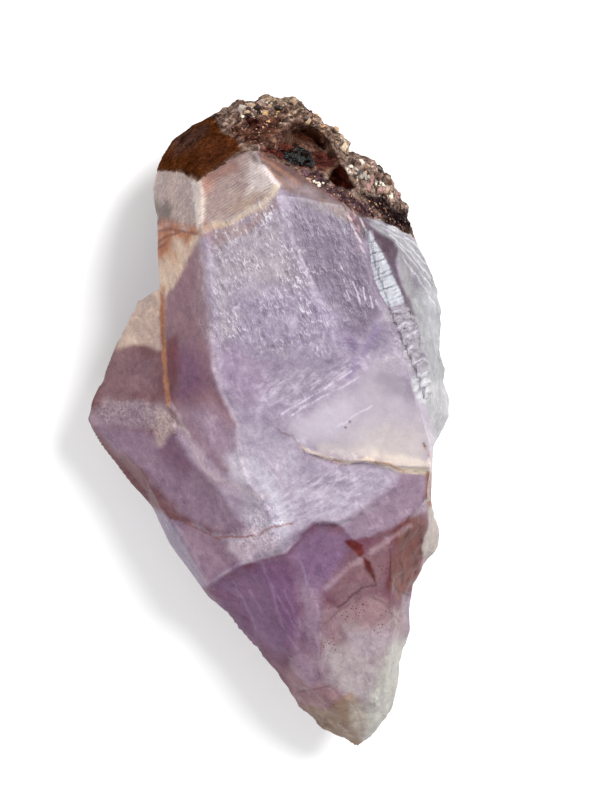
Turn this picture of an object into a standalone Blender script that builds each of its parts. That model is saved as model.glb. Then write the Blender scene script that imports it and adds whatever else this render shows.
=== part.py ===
"""An amethyst point with a hematite crust on its crown, lying on its back.

X runs across the point, Y runs along it towards the crown, and Z is up, out of its broad front face.
The front is laid out from the lines where its crystal faces meet: ridges, seams, steps and the outline.
Each line has only the corners that it turns at, and the faces between the lines are filled in flat.
The back closes the same outline by way of a lower rim and a flat area, which the stone rests on.
The stepped plates of the right side and the knobs of the crust grow out of the stone, as one solid.
Corners are drawn in millimetres, and the finished solid is scaled to its length in metres.
"""

import math
import random

import bmesh
import bpy
from mathutils import Euler, Matrix, Vector
from mathutils.bvhtree import BVHTree
from mathutils.geometry import delaunay_2d_cdt

# Driving dimensions: the length from the root to the crown, the height of the front ridge, and of the ground.

MM = 0.001
LENGTH = 151.6
RIDGE_HEIGHT = 49.5
GROUND = 0.0

# Corners closer than this are one corner, in plan, and after the union.

SAME_CORNER = 0.2
SAME_VERTEX = 0.001

# The outline seen from the front, walked clockwise from the cream band on the left, and how high it lies.

CROWN_OUTLINE = [
    (-25.8, 46.1, 29.0),
    (-27.3, 54.7, 22.0),
    (-25.8, 60.0, 21.0),
    (-23.0, 65.5, 19.0),
    (-18.7, 68.9, 18.0),
    (-10.5, 73.3, 18.0),
    (-7.0, 75.0, 19.0),
    (-3.0, 74.4, 20.0),
    (-0.3, 75.6, 20.0),
    (3.7, 75.4, 20.0),
    (9.7, 72.3, 20.0),
    (15.3, 67.2, 20.0),
    (19.2, 64.9, 20.0),
    (18.0, 62.7, 21.0),
    (21.0, 61.7, 22.0),
    (24.3, 60.8, 22.0),
    (26.8, 57.8, 22.0),
    (30.0, 52.4, 22.0),
    (31.4, 48.0, 23.0),
    (32.9, 43.4, 25.0),
]
RIGHT_OUTLINE = [
    (34.7, 39.3, 25.0),
    (37.1, 34.3, 24.0),
    (38.9, 29.7, 24.0),
    (39.7, 24.7, 23.0),
    (39.2, 19.6, 23.0),
    (39.4, 15.7, 23.0),
    (40.7, 12.9, 22.0),
    (40.0, 9.5, 22.0),
    (41.3, 6.7, 22.0),
    (41.6, 1.4, 22.0),
    (38.7, -3.4, 23.0),
    (37.5, -5.5, 25.0),
    (37.2, -10.5, 25.0),
    (37.0, -17.6, 25.0),
    (38.3, -21.3, 22.0),
    (39.3, -25.2, 21.0),
    (38.9, -28.8, 20.0),
    (36.5, -32.3, 20.0),
    (33.4, -37.4, 20.0),
]
ROOT_OUTLINE = [
    (32.5, -41.5, 20.0),
    (32.5, -48.0, 20.0),
    (30.1, -55.5, 20.0),
    (29.9, -60.6, 20.0),
    (28.1, -67.4, 18.0),
    (25.8, -69.5, 18.0),
    (23.7, -73.4, 17.0),
    (20.5, -76.0, 15.0),
    (17.2, -74.0, 16.0),
    (12.1, -71.5, 17.0),
    (10.2, -68.9, 17.0),
    (6.9, -66.2, 18.0),
    (2.0, -58.5, 18.0),
    (-1.9, -54.6, 18.0),
    (-10.5, -43.8, 18.0),
]
LEFT_OUTLINE = [
    (-14.5, -40.7, 17.0),
    (-18.7, -34.8, 17.0),
    (-23.5, -28.6, 16.0),
    (-27.9, -19.5, 16.0),
    (-32.1, -14.6, 16.0),
    (-39.1, -5.5, 16.0),
    (-42.7, 0.6, 18.0),
    (-41.4, 5.3, 19.0),
    (-39.1, 10.2, 19.0),
    (-35.2, 19.2, 21.0),
    (-32.3, 24.7, 22.0),
    (-30.7, 28.2, 22.0),
    (-25.2, 30.6, 29.0),
    (-25.5, 39.6, 29.5),
]
OUTLINE = CROWN_OUTLINE + RIGHT_OUTLINE + ROOT_OUTLINE + LEFT_OUTLINE


def plane(a, b, c):
    """The height of the flat face through three corners, at any plan position."""
    a = Vector(a)
    normal = (Vector(b) - a).cross(Vector(c) - a)
    return lambda x, y: a.z - (normal.x * (x - a.x) + normal.y * (y - a.y)) / normal.z


def on(face, *places):
    """Corners at plan positions on a flat face."""
    return [(x, y, face(x, y)) for x, y in places]


# The large flat faces. Two broad ones meet in the ridge down the front, and the foot lies below the ledge.

RIDGE_TOP = (1.4, 50.5, RIDGE_HEIGHT)
RIDGE_LOW = (15.4, 14.1, RIDGE_HEIGHT - 1.7)
FRONT_LEFT = plane(RIDGE_TOP, RIDGE_LOW, (-13.0, 21.0, RIDGE_HEIGHT - 4.3))
FRONT_RIGHT = plane(RIDGE_TOP, RIDGE_LOW, (31.1, 9.8, RIDGE_HEIGHT - 4.7))
LOWER_FRONT = plane(RIDGE_LOW, (-6.7, -1.2, 44.8), (35.6, -9.4, 43.2))
FOOT = plane((-6.1, -9.0, 44.4), (35.5, -11.0, 40.2), (0.7, -25.6, 42.0))

CREAM_CORNER = (-15.0, 44.0, FRONT_LEFT(-15.0, 44.0))
PEAK = (-2.4, 60.9, 42.5)
CHEVRON = plane(RIDGE_TOP, CREAM_CORNER, PEAK)
SHOULDER_CORNER = (-15.2, 54.9, CHEVRON(-15.2, 54.9))
PRISM_LEFT = plane(*on(FRONT_LEFT, (-14.0, 41.0), (-12.0, 13.1)), (-24.2, 17.8, 28.0))
SEAM_BEND = (-23.3, 5.3, 30.2)
MAUVE = plane(SEAM_BEND, (-24.2, 17.8, 28.0), (-39.1, 10.2, 19.5))
FROST = plane(SEAM_BEND, (-41.4, 5.3, 19.0), (-33.5, -7.4, 21.5))
VIOLET = plane((-33.5, -7.4, 21.5), (-12.8, -13.3, 33.5), (-14.5, -36.5, 24.5))
ROOT_LEFT = plane((-14.5, -36.5, 24.5), (-1.4, -32.0, 34.0), (6.9, -60.0, 26.0))
ROOT_FRONT = plane((4.6, -30.0, 38.0), (10.0, -60.0, 29.0), (26.1, -36.4, 34.0))

PRISM_FOOT = on(FOOT, (-6.1, -12.6))[0]
FOOT_END = on(FOOT, (0.7, -25.6))[0]
WEDGE_TOP = (20.7, 44.8, 43.0)
WEDGE_END = (33.3, 22.1, 36.5)
RIDGE_JOINT = on(ROOT_FRONT, (13.8, -63.3))[0]
CAVE_LEFT = (1.1, 61.3, 40.0)
CAVE_RIGHT = (16.1, 59.2, 35.5)

LINES = {
    "front ridge": [RIDGE_TOP, RIDGE_LOW],
    "left edge of the front": [
        CREAM_CORNER,
        *on(FRONT_LEFT, (-14.0, 41.0), (-12.6, 27.3), (-12.0, 13.1), (-10.2, 6.5)),
        *on(LOWER_FRONT, (-6.7, -1.2)),
        PRISM_FOOT,
        *on(FOOT, (-1.5, -17.1), (-0.2, -20.0)),
        FOOT_END,
    ],
    "foot of the front on the left": [
        *on(VIOLET, (-12.8, -13.3)),
        (-8.0, -15.5, 36.8),
        (-3.4, -18.9, 37.6),
        (-1.7, -22.2, 38.4),
        FOOT_END,
    ],
    "right edge of the front": [
        *on(FRONT_RIGHT, (16.3, 48.3), (20.7, 41.4), (22.7, 31.7), (25.5, 24.1)),
        *on(FRONT_RIGHT, (28.9, 17.5), (31.1, 9.8)),
        *on(LOWER_FRONT, (33.3, 2.7), (35.3, -4.6), (35.6, -9.4)),
    ],
    "left end of the lower front": [RIDGE_LOW, *on(FRONT_LEFT, (-10.2, 6.5))],
    "right end of the lower front": [RIDGE_LOW, *on(FRONT_RIGHT, (31.1, 9.8))],
    "cream band": [
        CROWN_OUTLINE[0],
        CREAM_CORNER,
        *on(FRONT_LEFT, (-6.3, 46.2), (-1.2, 49.1)),
        RIDGE_TOP,
        *on(FRONT_RIGHT, (8.0, 50.0), (16.3, 48.3)),
    ],
    "corner above the cream band": [SHOULDER_CORNER, CREAM_CORNER],
    "fold of the chevron": [PEAK, RIDGE_TOP],
    "lower rim of the crown": [
        (-25.8, 60.0, 21.0),
        (-16.4, 56.1, 38.6),
        SHOULDER_CORNER,
        PEAK,
        (2.5, 58.4, 43.2),
        (6.9, 56.8, 43.4),
        (11.7, 53.9, 43.4),
        (16.1, 50.8, 43.3),
        WEDGE_TOP,
        (27.1, 44.8, 35.0),
        CROWN_OUTLINE[-1],
    ],
    "seam of the side crystal": [
        LEFT_OUTLINE[-2],
        *on(PRISM_LEFT, (-24.3, 28.1), (-24.2, 17.8)),
        SEAM_BEND,
        (-20.1, -1.9, 32.2),
        (-16.0, -7.7, 34.6),
        (-12.8, -12.1, 37.2),
        PRISM_FOOT,
    ],
    "lower fold of the left prism": [(-20.1, -1.9, 32.2), *on(LOWER_FRONT, (-6.7, -1.2))],
    "step under the seam": [SEAM_BEND, *on(VIOLET, (-20.8, -3.2), (-16.6, -8.8), (-12.8, -13.3))],
    "tan top of the side crystal": [(-35.2, 19.2, 21.0), *on(MAUVE, (-29.8, 18.0), (-26.0, 16.1)), SEAM_BEND],
    "frosty ridge": [(-41.4, 5.3, 19.0), *on(FROST, (-34.5, 4.0), (-27.3, 4.0)), SEAM_BEND],
    "pale triangle": [*on(FROST, (-27.3, 4.0)), *on(VIOLET, (-25.8, -6.1), (-20.8, -3.2))],
    "ridge of the side crystal": [
        (-42.7, 0.6, 18.0),
        *on(FROST, (-38.9, -2.1), (-33.5, -7.4)),
        *on(VIOLET, (-29.9, -10.8), (-25.2, -19.5), (-21.1, -26.2), (-14.5, -36.5)),
        (-10.5, -43.8, 18.0),
    ],
    "back facet of the side crystal": [
        (-39.1, -5.5, 16.0),
        (-34.5, -9.4, 17.5),
        (-28.9, -16.0, 17.5),
        (-27.9, -19.5, 16.0),
    ],
    "dotted step": [
        *on(VIOLET, (-25.2, -19.5), (-15.8, -24.5), (-10.7, -26.2)),
        (-3.2, -25.4, 36.8),
        FOOT_END,
    ],
    "foot of the dotted step": [
        *on(VIOLET, (-21.1, -26.2)),
        (-15.6, -26.2, 27.4),
        (-10.6, -27.8, 29.6),
        (-3.0, -27.2, 35.2),
    ],
    "ledge": [
        *on(LOWER_FRONT, (-6.7, -1.2), (6.9, -6.2), (12.4, -7.1), (17.9, -7.9)),
        *on(LOWER_FRONT, (23.4, -8.1), (28.9, -9.2), (35.6, -9.4)),
    ],
    "foot of the ledge": [
        *on(LOWER_FRONT, (6.9, -6.2)),
        *on(FOOT, (12.4, -7.8), (17.9, -8.8), (23.4, -8.9), (28.9, -10.1), (35.6, -10.4)),
    ],
    "jagged edge": [
        *on(VIOLET, (-14.5, -36.5)),
        (-6.7, -31.1, 31.2),
        (-1.6, -30.2, 35.6),
        (3.0, -28.4, 39.6),
        *on(FOOT, (6.2, -24.0), (11.3, -21.2), (14.9, -21.6), (18.2, -20.1), (23.5, -16.8), (30.6, -13.0)),
    ],
    "foot of the jagged edge": [
        *on(ROOT_LEFT, (-6.9, -32.6), (-1.4, -32.0)),
        *on(ROOT_FRONT, (4.4, -30.0), (7.6, -25.4), (11.4, -22.6), (15.4, -23.0), (19.0, -21.4)),
        (24.3, -18.0, 39.6),
        *on(FOOT, (30.6, -13.0)),
    ],
    "left ridge of the root": [
        *on(ROOT_LEFT, (-1.4, -32.0), (-0.6, -36.0), (3.1, -45.2), (6.9, -57.3)),
        RIDGE_JOINT,
        (20.2, -73.5, 18.5),
    ],
    "middle ridge of the root": [*on(ROOT_FRONT, (4.4, -30.0), (7.6, -42.0), (11.0, -54.0)), RIDGE_JOINT],
    "right ridge of the root": [
        *on(FOOT, (35.6, -10.4)),
        (35.4, -16.6, 38.6),
        *on(ROOT_FRONT, (31.0, -21.5), (27.8, -26.5), (27.0, -34.5)),
        *on(ROOT_FRONT, (28.0, -46.0), (26.8, -56.0), (24.6, -64.0)),
        (23.7, -73.4, 17.0),
    ],
    "striated strip": [
        WEDGE_TOP,
        (25.5, 35.9, 40.5),
        (30.1, 27.4, 38.0),
        WEDGE_END,
        (35.5, 12.5, 36.0),
        (36.4, 4.0, 35.5),
    ],
    "outer edge of the wedge": [
        WEDGE_TOP,
        (28.1, 41.1, 37.0),
        (30.9, 35.7, 33.5),
        (32.2, 28.5, 33.0),
        WEDGE_END,
    ],
    "clear band": [
        (27.1, 44.8, 35.0),
        (30.6, 40.8, 32.0),
        (34.6, 35.0, 29.0),
        (36.6, 27.0, 28.5),
        (37.4, 17.0, 29.0),
    ],
    "arch of the cave": [
        CAVE_LEFT,
        (2.6, 64.8, 37.0),
        (4.6, 67.4, 33.0),
        (7.4, 68.5, 31.0),
        (11.0, 67.0, 30.0),
        (13.9, 63.6, 32.0),
        CAVE_RIGHT,
        (15.4, 57.2, 38.5),
        (11.8, 56.7, 41.2),
        (6.9, 58.2, 41.8),
        (3.6, 59.6, 41.6),
        CAVE_LEFT,
    ],
    "floor of the cave": [
        (3.8, 62.6, 33.0),
        (5.6, 65.0, 28.5),
        (8.0, 65.9, 27.0),
        (11.0, 64.6, 27.0),
        (12.8, 61.1, 30.0),
        (9.1, 60.1, 33.5),
        (3.8, 62.6, 33.0),
    ],
    "crust along the top": [
        (-14.5, 64.6, 30.0),
        (-10.2, 67.5, 29.5),
        (-5.4, 69.8, 29.0),
        (-0.9, 70.9, 28.0),
        (3.7, 71.3, 27.5),
        (7.4, 70.6, 27.0),
        (12.5, 67.4, 26.5),
        (17.4, 64.9, 22.5),
    ],
    "right shoulder": [
        CAVE_RIGHT,
        (18.6, 57.1, 35.5),
        (23.3, 55.8, 32.0),
        (26.9, 51.0, 31.5),
        (29.5, 47.5, 29.0),
    ],
}

# The back: a lower rim inside the outline, and the flat area that the stone rests on.

BACK_RIM = [
    (-22.5, 47.0, 10.0),
    (-23.5, 57.0, 7.5),
    (-17.0, 65.5, 8.0),
    (-8.0, 70.5, 6.5),
    (3.0, 71.5, 8.5),
    (12.0, 66.5, 7.0),
    (15.5, 61.0, 9.0),
    (23.5, 57.0, 7.5),
    (28.0, 48.0, 9.5),
    (33.0, 36.0, 8.0),
    (36.0, 24.0, 10.0),
    (35.5, 10.0, 8.0),
    (37.5, 1.0, 7.0),
    (34.0, -8.0, 10.0),
    (33.5, -18.0, 8.5),
    (35.5, -26.0, 7.0),
    (29.5, -36.0, 9.0),
    (28.5, -48.0, 7.0),
    (26.0, -60.0, 9.0),
    (22.0, -70.0, 8.0),
    (18.5, -71.5, 9.0),
    (9.5, -65.0, 7.5),
    (0.5, -52.0, 8.5),
    (-11.5, -39.0, 6.5),
    (-22.0, -25.5, 7.0),
    (-33.0, -10.0, 5.5),
    (-38.5, 1.0, 8.0),
    (-35.5, 11.0, 7.0),
    (-28.5, 24.0, 9.5),
    (-21.5, 29.5, 10.5),
    (-22.0, 39.0, 9.0),
]
REST = [
    (-14.0, 49.0),
    (3.0, 60.0),
    (18.0, 53.0),
    (25.0, 36.0),
    (27.0, 2.0),
    (24.0, -28.0),
    (13.0, -43.0),
    (1.0, -38.0),
    (-17.0, -18.0),
    (-24.0, 4.0),
    (-16.0, 24.0),
]


# The hematite crust. Each row gives the line that the knobs follow in plan, how many there are, how far they
# stray from it, and the smallest and largest radius.

CRUST = {
    "top": ([(-13.0, 69.5), (-5.0, 72.2), (3.0, 73.0), (9.5, 69.8), (15.5, 65.2)], 44, 1.8, 1.5, 3.2),
    "inner top": ([(-13.0, 66.0), (-6.0, 68.0), (-0.5, 68.5)], 20, 1.6, 1.1, 2.3),
    "shoulder": ([(19.0, 60.0), (23.5, 57.6), (27.2, 53.0), (30.0, 47.6)], 28, 1.6, 1.5, 3.2),
    "inner shoulder": ([(17.5, 56.0), (22.0, 54.0), (26.0, 49.0)], 22, 2.0, 1.1, 2.3),
    "lower rim": ([(8.0, 57.2), (12.0, 54.9), (16.5, 52.0), (20.5, 47.5), (27.0, 45.0)], 20, 0.9, 0.8, 1.6),
}
CAVE = {
    "cave floor": ([(3.8, 61.6), (6.4, 62.2), (9.4, 61.0), (12.0, 60.4)], 16, 1.3, 1.1, 2.0),
}
SUNK = 0.3
ROUGH_SQUASH = (0.65, 1.15)
ROUGH_KNOCK = (0.82, 1.12)
ROUND_SQUASH = (0.9, 1.0)
ROUND_KNOCK = (1.0, 1.0)

# The stepped plates down the right prism face. They are wide in the middle of the strip, and each one leans
# out over the next.

PLATE_LINE = [(21.8, 42.6), (27.0, 30.0), (31.2, 18.5), (35.2, 6.0)]
PLATE_COUNT = 15
PLATE_WIDTH = (2.6, 6.8)
PLATE_STRAY = 0.6
PLATE_LENGTH = (2.9, 3.5)
PLATE_THICKNESS = 1.3
PLATE_LEAN = (11.0, 17.0)


def surface(made, lines, facing):
    """Fills the outline with flat triangles between the lines, and adds them to the solid."""
    corners, joins, known = [], [], {}

    def number(corner):
        key = (round(corner[0] / SAME_CORNER), round(corner[1] / SAME_CORNER))
        if key not in known:
            known[key] = len(corners)
            corners.append(Vector(corner))
        return known[key]

    rim = [number(corner) for corner in OUTLINE]
    for line in lines:
        numbers = [number(corner) for corner in line]
        joins += [pair for pair in zip(numbers, numbers[1:]) if pair[0] != pair[1]]
    flat = [Vector((corner.x, corner.y)) for corner in corners]
    spots, _, triangles, origins, _, _ = delaunay_2d_cdt(flat, joins, [rim[::-1]], 1, 1e-6)
    crossed = [tuple(spot) for spot, origin in zip(spots, origins) if not origin]
    if crossed:
        raise ValueError(f"lines cross at {crossed}")
    placed = [corners[origin[0]] for origin in origins]
    verts = [made.verts.new(place) for place in placed]
    for triangle in triangles:
        loop = triangle if facing > 0 else triangle[::-1]
        made.faces.new([verts[index] for index in loop])


def helper(name, made):
    """A hidden object that holds a shape until the union takes it."""
    mesh = bpy.data.meshes.new(name)
    made.to_mesh(mesh)
    made.free()
    thing = bpy.data.objects.new(name, mesh)
    thing.hide_render = True
    thing.display_type = "WIRE"
    bpy.context.scene.collection.objects.link(thing)
    return thing


def stone():
    """The closed faceted stone, without its crust."""
    made = bmesh.new()
    surface(made, LINES.values(), 1)
    rest = [(x, y, GROUND) for x, y in REST]
    surface(made, [BACK_RIM + BACK_RIM[:1], rest + rest[:1]], -1)
    bmesh.ops.remove_doubles(made, verts=made.verts[:], dist=SAME_VERTEX)
    return made


def along(line, share):
    """The place at this share of the way along a plan line, counted in equal spans."""
    place = share * (len(line) - 1)
    index = min(int(place), len(line) - 2)
    return Vector(line[index]).lerp(Vector(line[index + 1]), place - index)


def touch(front, x, y):
    """The point of the front at this plan position, and which way it faces there."""
    high_above = Vector((x, y, 2.0 * RIDGE_HEIGHT))
    point, normal, _, _ = front.ray_cast(high_above, Vector((0.0, 0.0, -1.0)))
    return point, normal


def knob(chance, point, normal, radius, fineness, squash, knock):
    """A ball of crust partly sunk in the surface, squashed, turned any way and knocked out of true."""
    made = bmesh.new()
    bmesh.ops.create_icosphere(made, subdivisions=fineness, radius=radius)
    turn = Euler([chance.uniform(0.0, math.tau) for _ in range(3)]).to_matrix()
    stretch = Vector([chance.uniform(*squash) for _ in range(3)])
    middle = point - normal * radius * SUNK
    for vert in made.verts:
        vert.co = middle + turn @ (vert.co * stretch) * chance.uniform(*knock)
    return made


def crust(front, rows, seed, fineness, squash, knock):
    """The knobs of some rows of the crust, wherever they land on the stone."""
    chance = random.Random(seed)
    for line, count, stray, smallest, largest in rows.values():
        for number in range(count):
            middle = along(line, (number + 0.5) / count)
            x = middle.x + chance.uniform(-stray, stray)
            y = middle.y + chance.uniform(-stray, stray)
            point, normal = touch(front, x, y)
            if point:
                yield knob(chance, point, normal, chance.uniform(smallest, largest), fineness, squash, knock)


def plates(front):
    """The stepped plates of the right side, one below the other like shingles."""
    chance = random.Random(12)
    down = (Vector(PLATE_LINE[-1]) - Vector(PLATE_LINE[0])).to_3d()
    narrow, wide = PLATE_WIDTH
    for number in range(PLATE_COUNT):
        share = (number + 0.5) / PLATE_COUNT
        middle = along(PLATE_LINE, share)
        point, normal = touch(front, middle.x, middle.y)
        forward = (down - normal * down.dot(normal)).normalized()
        frame = Matrix((forward, normal.cross(forward), normal)).transposed()
        lean = Matrix.Rotation(math.radians(chance.uniform(*PLATE_LEAN)), 3, "Y")
        width = narrow + (wide - narrow) * math.sin(math.pi * share)
        width += chance.uniform(-PLATE_STRAY, PLATE_STRAY)
        size = Vector((chance.uniform(*PLATE_LENGTH), width, PLATE_THICKNESS))
        made = bmesh.new()
        bmesh.ops.create_cube(made, size=1.0)
        for vert in made.verts:
            vert.co = point + frame @ (lean @ (vert.co * size))
        yield made


def join(base, grown):
    """Unites the stone with each shape that grew on it."""
    for number, made in enumerate(grown):
        tool = helper(f"growth_{number:03d}", made)
        union = base.modifiers.new("union", "BOOLEAN")
        union.operation = "UNION"
        union.solver = "EXACT"
        union.object = tool
        united = base.evaluated_get(bpy.context.evaluated_depsgraph_get())
        base.data = bpy.data.meshes.new_from_object(united)
        base.modifiers.clear()
        bpy.data.objects.remove(tool)


def drop_pockets(made):
    """Keeps the outside of the stone, and drops any small closed pocket left between the knobs."""
    waiting = set(made.faces)
    shells = []
    while waiting:
        shell = [waiting.pop()]
        for face in shell:
            for edge in face.edges:
                for other in edge.link_faces:
                    if other in waiting:
                        waiting.discard(other)
                        shell.append(other)
        shells.append(shell)
    shells.sort(key=len)
    for shell in shells[:-1]:
        bmesh.ops.delete(made, geom=shell, context="FACES")


def finish(thing):
    """Centres the stone on its box, stands it on the ground, and scales it to its length in metres."""
    made = bmesh.new()
    made.from_mesh(thing.data)
    bmesh.ops.remove_doubles(made, verts=made.verts[:], dist=SAME_VERTEX)
    bmesh.ops.triangulate(made, faces=made.faces[:])
    drop_pockets(made)
    bmesh.ops.recalc_face_normals(made, faces=made.faces[:])
    sides = [sorted(vert.co[axis] for vert in made.verts) for axis in range(3)]
    middle = Vector([(side[0] + side[-1]) / 2 for side in sides[:2]] + [sides[2][0]])
    drawn = [corner[1] for corner in OUTLINE]
    scale = MM * LENGTH / (max(drawn) - min(drawn))
    made.transform(Matrix.Scale(scale, 4) @ Matrix.Translation(-middle))
    made.to_mesh(thing.data)
    made.free()


def amethyst():
    """Violet quartz, cloudy and partly see-through."""
    violet = (0.38, 0.29, 0.42, 1.0)
    material = bpy.data.materials.new("amethyst")
    material.use_nodes = True
    material.diffuse_color = violet
    shader = material.node_tree.nodes["Principled BSDF"]
    shader.inputs["Base Color"].default_value = violet
    shader.inputs["Roughness"].default_value = 0.28
    shader.inputs["Metallic"].default_value = 0.0
    shader.inputs["IOR"].default_value = 1.544
    return material


def main():
    for thing in list(bpy.data.objects):
        bpy.data.objects.remove(thing)
    made = stone()
    front = BVHTree.FromBMesh(made)
    point = helper("amethyst_point", made)
    join(point, plates(front))
    join(point, crust(front, CRUST, 41, 1, ROUGH_SQUASH, ROUGH_KNOCK))
    join(point, crust(front, CAVE, 7, 2, ROUND_SQUASH, ROUND_KNOCK))
    finish(point)
    point.hide_render = False
    point.display_type = "TEXTURED"
    point.data.materials.clear()
    point.data.materials.append(amethyst())


main()
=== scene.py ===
# %% [markdown]
# An amethyst point with a hematite crown, lying on its back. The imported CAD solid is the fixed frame: it
# has every ridge, step and knob of the stone, but only as large flat triangles. This lesson turns a copy of
# it into a finished crystal. It cuts the triangles fine, etches and chips the surface, paints the colours
# that lie in the quartz, and gives the stone a see-through violet material and its crown an opaque iron-
# brown one. Sizes on the stone are in millimetres, and MM turns them into Blender's metres. What is drawn
# on the front is in pixels of the photograph.

# %% Load the frame
import itertools
import math
import bpy
import numpy as np
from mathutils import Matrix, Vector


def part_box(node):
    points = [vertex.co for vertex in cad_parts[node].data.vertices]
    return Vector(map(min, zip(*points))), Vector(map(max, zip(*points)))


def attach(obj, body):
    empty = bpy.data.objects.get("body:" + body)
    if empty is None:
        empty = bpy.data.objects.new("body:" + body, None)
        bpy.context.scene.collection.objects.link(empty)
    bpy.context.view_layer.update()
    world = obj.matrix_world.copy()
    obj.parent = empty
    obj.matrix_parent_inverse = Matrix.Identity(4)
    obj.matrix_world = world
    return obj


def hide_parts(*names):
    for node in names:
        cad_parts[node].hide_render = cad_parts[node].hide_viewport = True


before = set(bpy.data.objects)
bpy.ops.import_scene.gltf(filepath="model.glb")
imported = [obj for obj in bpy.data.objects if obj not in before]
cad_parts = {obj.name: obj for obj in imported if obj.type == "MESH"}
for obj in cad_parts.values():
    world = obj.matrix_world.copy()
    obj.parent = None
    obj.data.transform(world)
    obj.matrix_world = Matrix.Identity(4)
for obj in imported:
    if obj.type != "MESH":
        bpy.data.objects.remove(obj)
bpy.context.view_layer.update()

MM = 0.001
LOW, HIGH = (np.array(corner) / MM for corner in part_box("amethyst_point"))
print("CAD box in mm", LOW.round(1), HIGH.round(1))

# %% [markdown]
# The camera looks straight down on the broad front face from half a metre, which is how the stone was
# photographed. A real distance matters here: the front lies about 25 mm nearer than the side crystal, so it
# looks 5% larger. The other way, a flat view without perspective, would shift every edge by a millimetre or
# more. Places on the front are read in the pixels of the 591 by 788 photograph, so `seen` gives every point
# of the stone its pixel: the distance from the camera's axis, divided by what one pixel spans at that
# height.

# %% Camera
PICTURE = (591, 788)
PIXEL = 0.231
PIXEL_HEIGHT = 22.0
CAMERA_HEIGHT = 500.0
CAMERA_SPOT = (6.44, 6.64)
SENSOR = 36.0
NEAREST_SEEN = 10.0


def seen(points):
    """Column and row of each point: the picture's middle plus the offset over the span of a pixel there."""
    span = PIXEL * (CAMERA_HEIGHT - points[:, 2]) / (CAMERA_HEIGHT - PIXEL_HEIGHT)
    column = PICTURE[0] / 2 + (points[:, 0] - CAMERA_SPOT[0]) / span
    row = PICTURE[1] / 2 - (points[:, 1] - CAMERA_SPOT[1]) / span
    return np.stack([column, row], axis=1)


def put_in_scene(name, data):
    """An object with this mesh, lamp or camera in it, at the origin of the scene."""
    made = bpy.data.objects.new(name, data)
    bpy.context.scene.collection.objects.link(made)
    return made


camera = put_in_scene("camera", bpy.data.cameras.new("camera"))
bpy.context.scene.camera = camera
camera.location = (CAMERA_SPOT[0] * MM, CAMERA_SPOT[1] * MM, CAMERA_HEIGHT * MM)
camera.data.sensor_width = SENSOR
camera.data.lens = SENSOR * (CAMERA_HEIGHT - PIXEL_HEIGHT) / (PICTURE[1] * PIXEL)
camera.data.clip_start = NEAREST_SEEN * MM
print("lens", round(camera.data.lens, 1), "mm")

# %% [markdown]
# The light is a plain soft studio: a white room, and three large lamps, placed in metres. The main one
# stands up and to the right, because the facets that face that way are the bright ones, and those that face
# left and down are the dark ones. A pale floor under the stone closes the room. The colours are shown as
# they are, with no film curve, so that the floor comes out nearly white as the plain ground of a product
# picture does.

# %% Floor and light
FLOOR_SIZE = 3.0
FLOOR_COLOUR = (0.9, 0.9, 0.9)
FLOOR_ROUGHNESS = 0.7
LAMPS = {
    "main lamp": dict(place=(0.42, 0.30, 0.60), size=0.40, power=8.2),
    "left lamp": dict(place=(-0.60, 0.20, 0.55), size=0.60, power=2.6),
    "low lamp": dict(place=(0.05, -0.65, 0.50), size=0.60, power=2.2),
}
ROOM_LIGHT = 0.46


def plain_material(name, colour, roughness, shine=0.5):
    """A material of one colour, for the floor and for things too small to show more."""
    material = bpy.data.materials.new(name)
    material.use_nodes = True
    shader = material.node_tree.nodes["Principled BSDF"]
    shader.inputs["Base Color"].default_value = (*colour, 1.0)
    shader.inputs["Roughness"].default_value = roughness
    shader.inputs["Specular IOR Level"].default_value = shine
    return material


def make_floor():
    """A flat square under the stone, which isn't part of it."""
    half = FLOOR_SIZE / 2
    corners = [(-half, -half, 0.0), (half, -half, 0.0), (half, half, 0.0), (-half, half, 0.0)]
    mesh = bpy.data.meshes.new("floor")
    mesh.from_pydata(corners, [], [(0, 1, 2, 3)])
    mesh.materials.append(plain_material("pale floor", FLOOR_COLOUR, FLOOR_ROUGHNESS))
    floor = put_in_scene("floor", mesh)


def make_lamp(name, place, size, power):
    """A round soft lamp that shines at the middle of the stone."""
    lamp = put_in_scene(name, bpy.data.lights.new(name, "AREA"))
    lamp.data.shape = "DISK"
    lamp.data.size = size
    lamp.data.energy = power
    lamp.location = place
    lamp.rotation_euler = (-lamp.location).to_track_quat("-Z", "Y").to_euler()


def make_room():
    """Even white light from all around."""
    world = bpy.data.worlds.new("room")
    world.use_nodes = True
    world.node_tree.nodes["Background"].inputs["Color"].default_value = (1.0, 1.0, 1.0, 1.0)
    world.node_tree.nodes["Background"].inputs["Strength"].default_value = ROOM_LIGHT
    bpy.context.scene.world = world
    bpy.context.scene.view_settings.view_transform = "Standard"


make_floor()
make_room()
for lamp_name, settings in LAMPS.items():
    make_lamp(lamp_name, **settings)
print("lamps:", ", ".join(LAMPS))
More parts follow.
